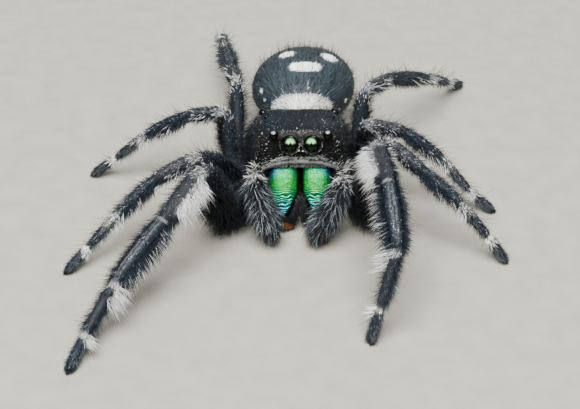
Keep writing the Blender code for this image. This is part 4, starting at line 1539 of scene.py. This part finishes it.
rear = zone(-2.80, 3.2, 0.02)
front = zone(-3.0, -2.80, 0.01)
sides = zone(-3.0, 1.0, 0.1, 30, 180)
top = zone(-2.75, -0.6, 0.1, -1, 50)
glinting = zone(-2.9, 0.5, 0.1, -1, 125)
slope = zone(-0.9, 2.8, 0.2)
HEAD_ROWS = (
    (carapace, rear, 14000, (0.08, 0.15), 0.046, (8, 30), 121, (0, 24)),
    (carapace, front, 6500, (0.05, 0.11), 0.028, (12, 38), 122, (0, 30)),
    (carapace, sides, 5200, (0.06, 0.11), 0.040, (12, 34), 128, (0, 40), ("#0d0f0c", "#3c4035")),
    (carapace, sides, 900, (0.07, 0.11), 0.052, (12, 34), 125, (0, 50), ("#60635a", "#f0f2e6")),
    (carapace, top, 800, (0.07, 0.11), 0.044, (12, 32), 126, (0, 50), ("#0d2236", "#86a0b2")),
    # Bright white scales as painted glints on the head
    (carapace, glinting, 280, (0.06, 0.09), 0.060, (12, 34), 127, (0, 50), ("#c9cac5", "#ffffff")),
    (carapace, slope, 2600, (0.14, 0.30), 0.026, (12, 32), 124, (0, 20), ("#06080a", "#3c4650")),
    (clypeus, everywhere, 900, (0.05, 0.09), 0.022, (8, 24), 123, (0, 25)),
)
sew_coat("coat_scales_head", 1, HEAD_ROWS, scale_finish)

# %% [markdown]
# ## Fringes
# What names this animal at a glance is its fringes: white ones along the front of the knee pieces, blue-black
# ones on both sides of the shins, and pale tufts where the last two lengths of each leg begin. They are
# planted from one table, with a row for each fringe.

# %% Plant the fringes of the legs
BLACK = ("#050608", "#1a2129")
BLUE_BLACK = ("#080a0e", "#33404f")
PALE = ("#c8cac6", "#ffffff")
STRANDS = ("#cbcecf", "#ffffff")
GREY = ("#15181c", "#6d757c")
# Pairs, from and to along the leg, from and to round it, count, length, width, lift, sag, tones
LEG_FRINGES = (
    ((1,), 2.16, 2.78, 62, 128, 370, (0.50, 1.18), 0.054, (42, 80), 0.18, STRANDS),
    ((1,), 2.05, 3.00, 70, 150, 900, (0.20, 0.48), 0.022, (35, 65), 0.05, BLUE_BLACK),
    ((1,), 2.10, 3.00, 140, 215, 800, (0.30, 0.70), 0.021, (40, 65), 0.05, BLACK),
    ((1,), 2.10, 3.00, -140, -62, 900, (0.20, 0.52), 0.021, (38, 62), 0.05, BLUE_BLACK),
    ((1,), 2.15, 2.75, -125, -70, 110, (0.30, 0.60), 0.028, (45, 68), 0.05, PALE),
    ((1,), 3.03, 3.97, 66, 150, 2900, (0.26, 0.90), 0.021, (36, 74), 0.05, BLUE_BLACK),
    ((1,), 3.06, 3.95, 80, 150, 200, (0.65, 1.08), 0.030, (50, 72), 0.08, PALE),
    ((1,), 3.03, 3.97, -150, -64, 2300, (0.22, 0.68), 0.021, (36, 70), 0.05, BLUE_BLACK),
    ((1,), 3.06, 3.95, -150, -85, 110, (0.50, 0.85), 0.028, (50, 72), 0.08, PALE),
    ((1,), 3.03, 3.97, 150, 210, 1200, (0.26, 0.74), 0.021, (40, 70), 0.05, BLACK),
    ((1,), 4.00, 4.34, 50, 150, 170, (0.60, 1.32), 0.041, (48, 84), 0.15, PALE),
    ((1,), 4.06, 4.97, 55, 200, 800, (0.18, 0.58), 0.019, (45, 74), 0.05, BLUE_BLACK),
    ((1,), 4.06, 4.97, -160, -50, 700, (0.18, 0.50), 0.019, (45, 74), 0.05, BLUE_BLACK),
    ((1,), 5.00, 5.22, 50, 140, 105, (0.42, 1.00), 0.040, (46, 82), 0.12, PALE),
    # Long black hair hanging from the front hips and thighs: the animal's own hair, laid thick enough to also
    # stand as painted shade under them
    ((1,), 1.02, 2.00, 70, 290, 2600, (0.40, 1.05), 0.034, (30, 72), 0.45, BLACK),
    ((1,), 0.30, 1.05, 50, 310, 1600, (0.40, 1.00), 0.034, (30, 72), 0.45, BLACK),
    ((1,), 1.20, 2.05, -80, 80, 500, (0.18, 0.42), 0.022, (25, 55), 0.05, BLUE_BLACK),
    ((2, 3, 4), 2.10, 3.00, 55, 305, 700, (0.18, 0.46), 0.021, (36, 64), 0.05, BLUE_BLACK),
    ((2, 3, 4), 2.10, 2.80, 50, 130, 40, (0.26, 0.48), 0.026, (34, 60), 0.05, PALE),
    ((2, 3, 4), 3.03, 3.97, 60, 300, 1800, (0.20, 0.62), 0.021, (38, 70), 0.05, BLUE_BLACK),
    ((2, 3, 4), 3.40, 3.95, 80, 150, 26, (0.50, 0.80), 0.026, (50, 72), 0.10, PALE),
    ((2, 3, 4), 4.00, 4.95, 55, 305, 800, (0.16, 0.44), 0.019, (40, 70), 0.05, GREY),
    ((2, 3, 4), 4.00, 4.25, 60, 150, 26, (0.40, 0.75), 0.028, (54, 76), 0.10, PALE),
    ((2, 3, 4), 5.00, 5.24, 30, 160, 80, (0.22, 0.42), 0.036, (34, 62), 0.08, PALE),
    ((2, 3, 4), 1.15, 2.00, 75, 285, 1000, (0.30, 0.66), 0.024, (36, 66), 0.12, BLACK),
    # Long black hair on the second hips and thighs, also standing as painted shade beside the head
    ((2,), 0.40, 1.70, 40, 320, 1300, (0.35, 0.85), 0.036, (34, 72), 0.25, BLACK),
    ((1, 2, 3, 4), 1.86, 2.16, -90, 110, 50, (0.16, 0.32), 0.026, (18, 42), 0.0, PALE),
    ((1, 2, 3, 4), 5.10, 6.08, 40, 320, 900, (0.14, 0.32), 0.021, (28, 62), 0.0, GREY),
    ((1, 2, 3, 4), 5.96, 6.13, 60, 300, 200, (0.18, 0.30), 0.028, (15, 45), 0.0, BLACK),
)


def fringe_rows(leg, seed):
    """The plantings of one leg's fringes, each with a seed of its own."""
    rows = []
    for number, (pairs, start, stop, first, last, count, *looks, sag, tones) in enumerate(LEG_FRINGES):
        if leg.pair in pairs:
            ring = zone(start, stop, 0.02, first, last, 5, mirrored=False)
            rows.append((leg, ring, count, *looks, seed + number, (0, 15), tones, sag, 0.06))
    return rows


for hand, first in (("right", 0), ("left", 4)):
    groups = {"coat_fringe_front_leg_": (first,), "coat_fringe_other_legs_": range(first + 1, first + 4)}
    for name, numbers in groups.items():
        rows = [row for i in numbers for row in fringe_rows(legs[i], 1000 + 40 * i)]
        sew_coat(name + hand, 2, rows, hair_finish)

# %% [markdown]
# ## Feelers and face
# The feelers carry the longest soft hair, dark grey with pale single hairs, fanned out and hanging towards
# their ends. The face has short pale hairs that lie down towards the jaws, thin pale arcs round the great
# eyes, and a few long white ones that curve from each cheek over the root of the feeler.

# %% Plant the feelers' hair and the hair of the face
on_arm = zone(0.10, 1.05, 0.05)
at_wrist = zone(0.80, 1.30, 0.05)
on_club = zone(1.10, 3.00, 0.05)
inner = zone(1.30, 2.34, 0.05, -172, -62, mirrored=False)
at_tip = zone(1.85, 2.34, 0.05, -172, -60, mirrored=False)
DEEP_GREY = ("#040608", "#20272d")
MIST_GREY = ("#414e56", "#c0cbd2")
ARM_GREY = ("#040608", "#2b3237")
JAW_GREY = ("#040505", "#3a3f42")
palp_rows = []
for i, palp in enumerate(palps):
    palp_rows += [
        (palp, on_club, 2900, (0.40, 0.85), 0.026, (18, 50), 300 + i, (0, 26), DEEP_GREY, 0.10),
        (palp, on_club, 500, (0.50, 1.00), 0.023, (24, 58), 310 + i, (0, 30), MIST_GREY, 0.12),
        (palp, at_wrist, 130, (0.25, 0.60), 0.036, (20, 55), 320 + i, (0, 40), PALE),
        (palp, on_arm, 620, (0.20, 0.42), 0.024, (20, 50), 330 + i, (0, 12), ARM_GREY),
    ]
for i, form in enumerate(jaw_forms):
    palp_rows += [
        (form, inner, 1000, (0.20, 0.50), 0.024, (15, 50), 340 + i, (0, 12), JAW_GREY, 0.30),
        # Black hair at the jaw tips, also standing as painted shade under the head
        (form, at_tip, 560, (0.35, 0.90), 0.034, (10, 50), 345 + i, (0, 12), BLACK, 0.40),
    ]
sew_coat("coat_feelers", 3, palp_rows, hair_finish)


def nearest_patch(form, points):
    """The place on the unwrap of the form's point that is nearest to each given point."""
    flat = form.rings.reshape(-1, 3)
    columns = form.rings.shape[1]
    found = np.array([np.argmin(((flat - point) ** 2).sum(axis=1)) for point in points])
    return form.patch_at(found // columns, found % columns)


def rim_hairs(coat, name, count, seed):
    """Short pale hairs that lie round the lower rim of a great eye."""
    rng = np.random.default_rng(seed)
    centre, radius, facing = eyes[name]
    right = unit(np.cross(facing, (0.0, 0.0, 1.0)))
    up = np.cross(right, facing)
    angle = np.radians(rng.uniform(165, 375, count))[:, None]
    spoke = np.cos(angle) * right + np.sin(angle) * up
    along = -np.sin(angle) * right + np.cos(angle) * up
    root = centre + spoke * (radius * rng.uniform(1.02, 1.20, count))[:, None] + facing * radius * 0.12
    way = unit(along + 0.25 * facing + rng.normal(0, 0.2, (count, 3)))
    colour = mixed_tones(("#2e2f2e", "#d3d5d2"), rng.random(count))
    reach, thick = rng.uniform(0.08, 0.15, count), np.full(count, 0.018)
    coat.lay(root, way, -0.5 * spoke, reach, thick, colour, nearest_patch(carapace, root), spoke)


def white_dot(coat, side, count, seed):
    """One of the two tiny white tufts between the great eyes."""
    rng = np.random.default_rng(seed)
    root = body_point(np.array((side * 0.085, -3.12, 1.44)) + rng.normal(0, 0.012, (count, 3)))
    way = unit(body_way((0.0, -0.9, 0.1)) + rng.normal(0, 0.35, (count, 3)))
    colour = SCALE_WHITE * rng.uniform(0.85, 1.0, count)[:, None]
    reach, thick = rng.uniform(0.05, 0.08, count), np.full(count, 0.030)
    out = np.cross(way, (0.0, 0.0, 1.0))
    coat.lay(root, way, 0 * way, reach, thick, colour, nearest_patch(carapace, root), out)


lip = zone(-0.95, 0.95, 0.03, 95, 179, 8, mirrored=False)
right_cheek = zone(-0.95, -0.62, 0.02, 60, 170, 8, mirrored=False)
left_cheek = zone(0.62, 0.95, 0.02, 60, 170, 8, mirrored=False)
under_eyes = zone(-2.928, -2.79, 0.01, 112, 180)
over_eyes = zone(-2.88, -2.78, 0.01, -1, 46, 4)
on_sides = zone(-2.78, -0.6, 0.1, 62, 132)
beside_head = zone(-1.9, 1.2, 0.1, 76, 140)
STRAY_WHITE = ("#b9bbb4", "#f4f4f0")
FACE_ROWS = (
    (clypeus, lip, 620, (0.08, 0.18), 0.018, (8, 32), 500, (90, 20), ("#3d3a36", "#9c978f")),
    (carapace, under_eyes, 2600, (0.12, 0.24), 0.019, (8, 28), 501, (0, 24), ("#2b3032", "#e4e8e8")),
    (carapace, over_eyes, 700, (0.09, 0.16), 0.022, (15, 40), 502, (0, 25), ("#3a3937", "#aaaca8")),
    (carapace, on_sides, 1500, (0.18, 0.42), 0.018, (25, 58), 503, (0, 25), BLACK),
    # Long black hair beside the head, also standing as painted shade between the head and the legs
    (carapace, beside_head, 2600, (0.30, 0.85), 0.036, (20, 60), 504, (0, 25), BLACK, 0.1),
    (clypeus, right_cheek, 20, (0.50, 1.00), 0.032, (30, 62), 509, (90, 16), STRAY_WHITE, 0.35),
    (clypeus, left_cheek, 20, (0.50, 1.00), 0.032, (30, 62), 511, (90, 16), STRAY_WHITE, 0.35),
)
face_coat = Coat("coat_face", 2)
for number, (hand, side) in enumerate(HANDS):
    rim_hairs(face_coat, "eye_front_middle_" + hand, 60, 530 + number)
    white_dot(face_coat, side, 16, 540 + number)
for row in FACE_ROWS:
    face_coat.plant(*row)
face_coat.sew(hair_finish)

# %% [markdown]
# ## Bristles
# Long, thin, black bristles stand out of the coat on the legs and on the abdomen. They are sparse, and they
# draw the fuzzy outline of the animal against the floor.

# %% Plant the bristles
limb_top = zone(1.2, 5.6, 0.05, -1, 120, 10)
head_top = zone(-2.5, 1.5, 0.1, -1, 100, 5)
bristle_rows = [
    (leg, limb_top, 170, (0.5, 1.25), 0.023, (42, 75), 400 + i, (0, 12), BLACK) for i, leg in enumerate(legs)
]
bristle_rows += [
    (abdomen, everywhere, 1300, (0.40, 0.95), 0.018, (26, 58), 420, (0, 12), BLACK),
    (carapace, head_top, 340, (0.20, 0.50), 0.020, (36, 68), 421, (0, 12), BLACK),
]
sew_coat("coat_bristles", 3, bristle_rows, bristle_finish)

# %% [markdown]
# ## Size
# The coat stands only a little proud of the CAD model's box, because its hairs are shortened to it, and the
# CAD model's size is printed.

# %% Print the CAD model's size
print("CAD size:", [round((b - a) / MM, 2) for a, b in zip(*cad_box)])
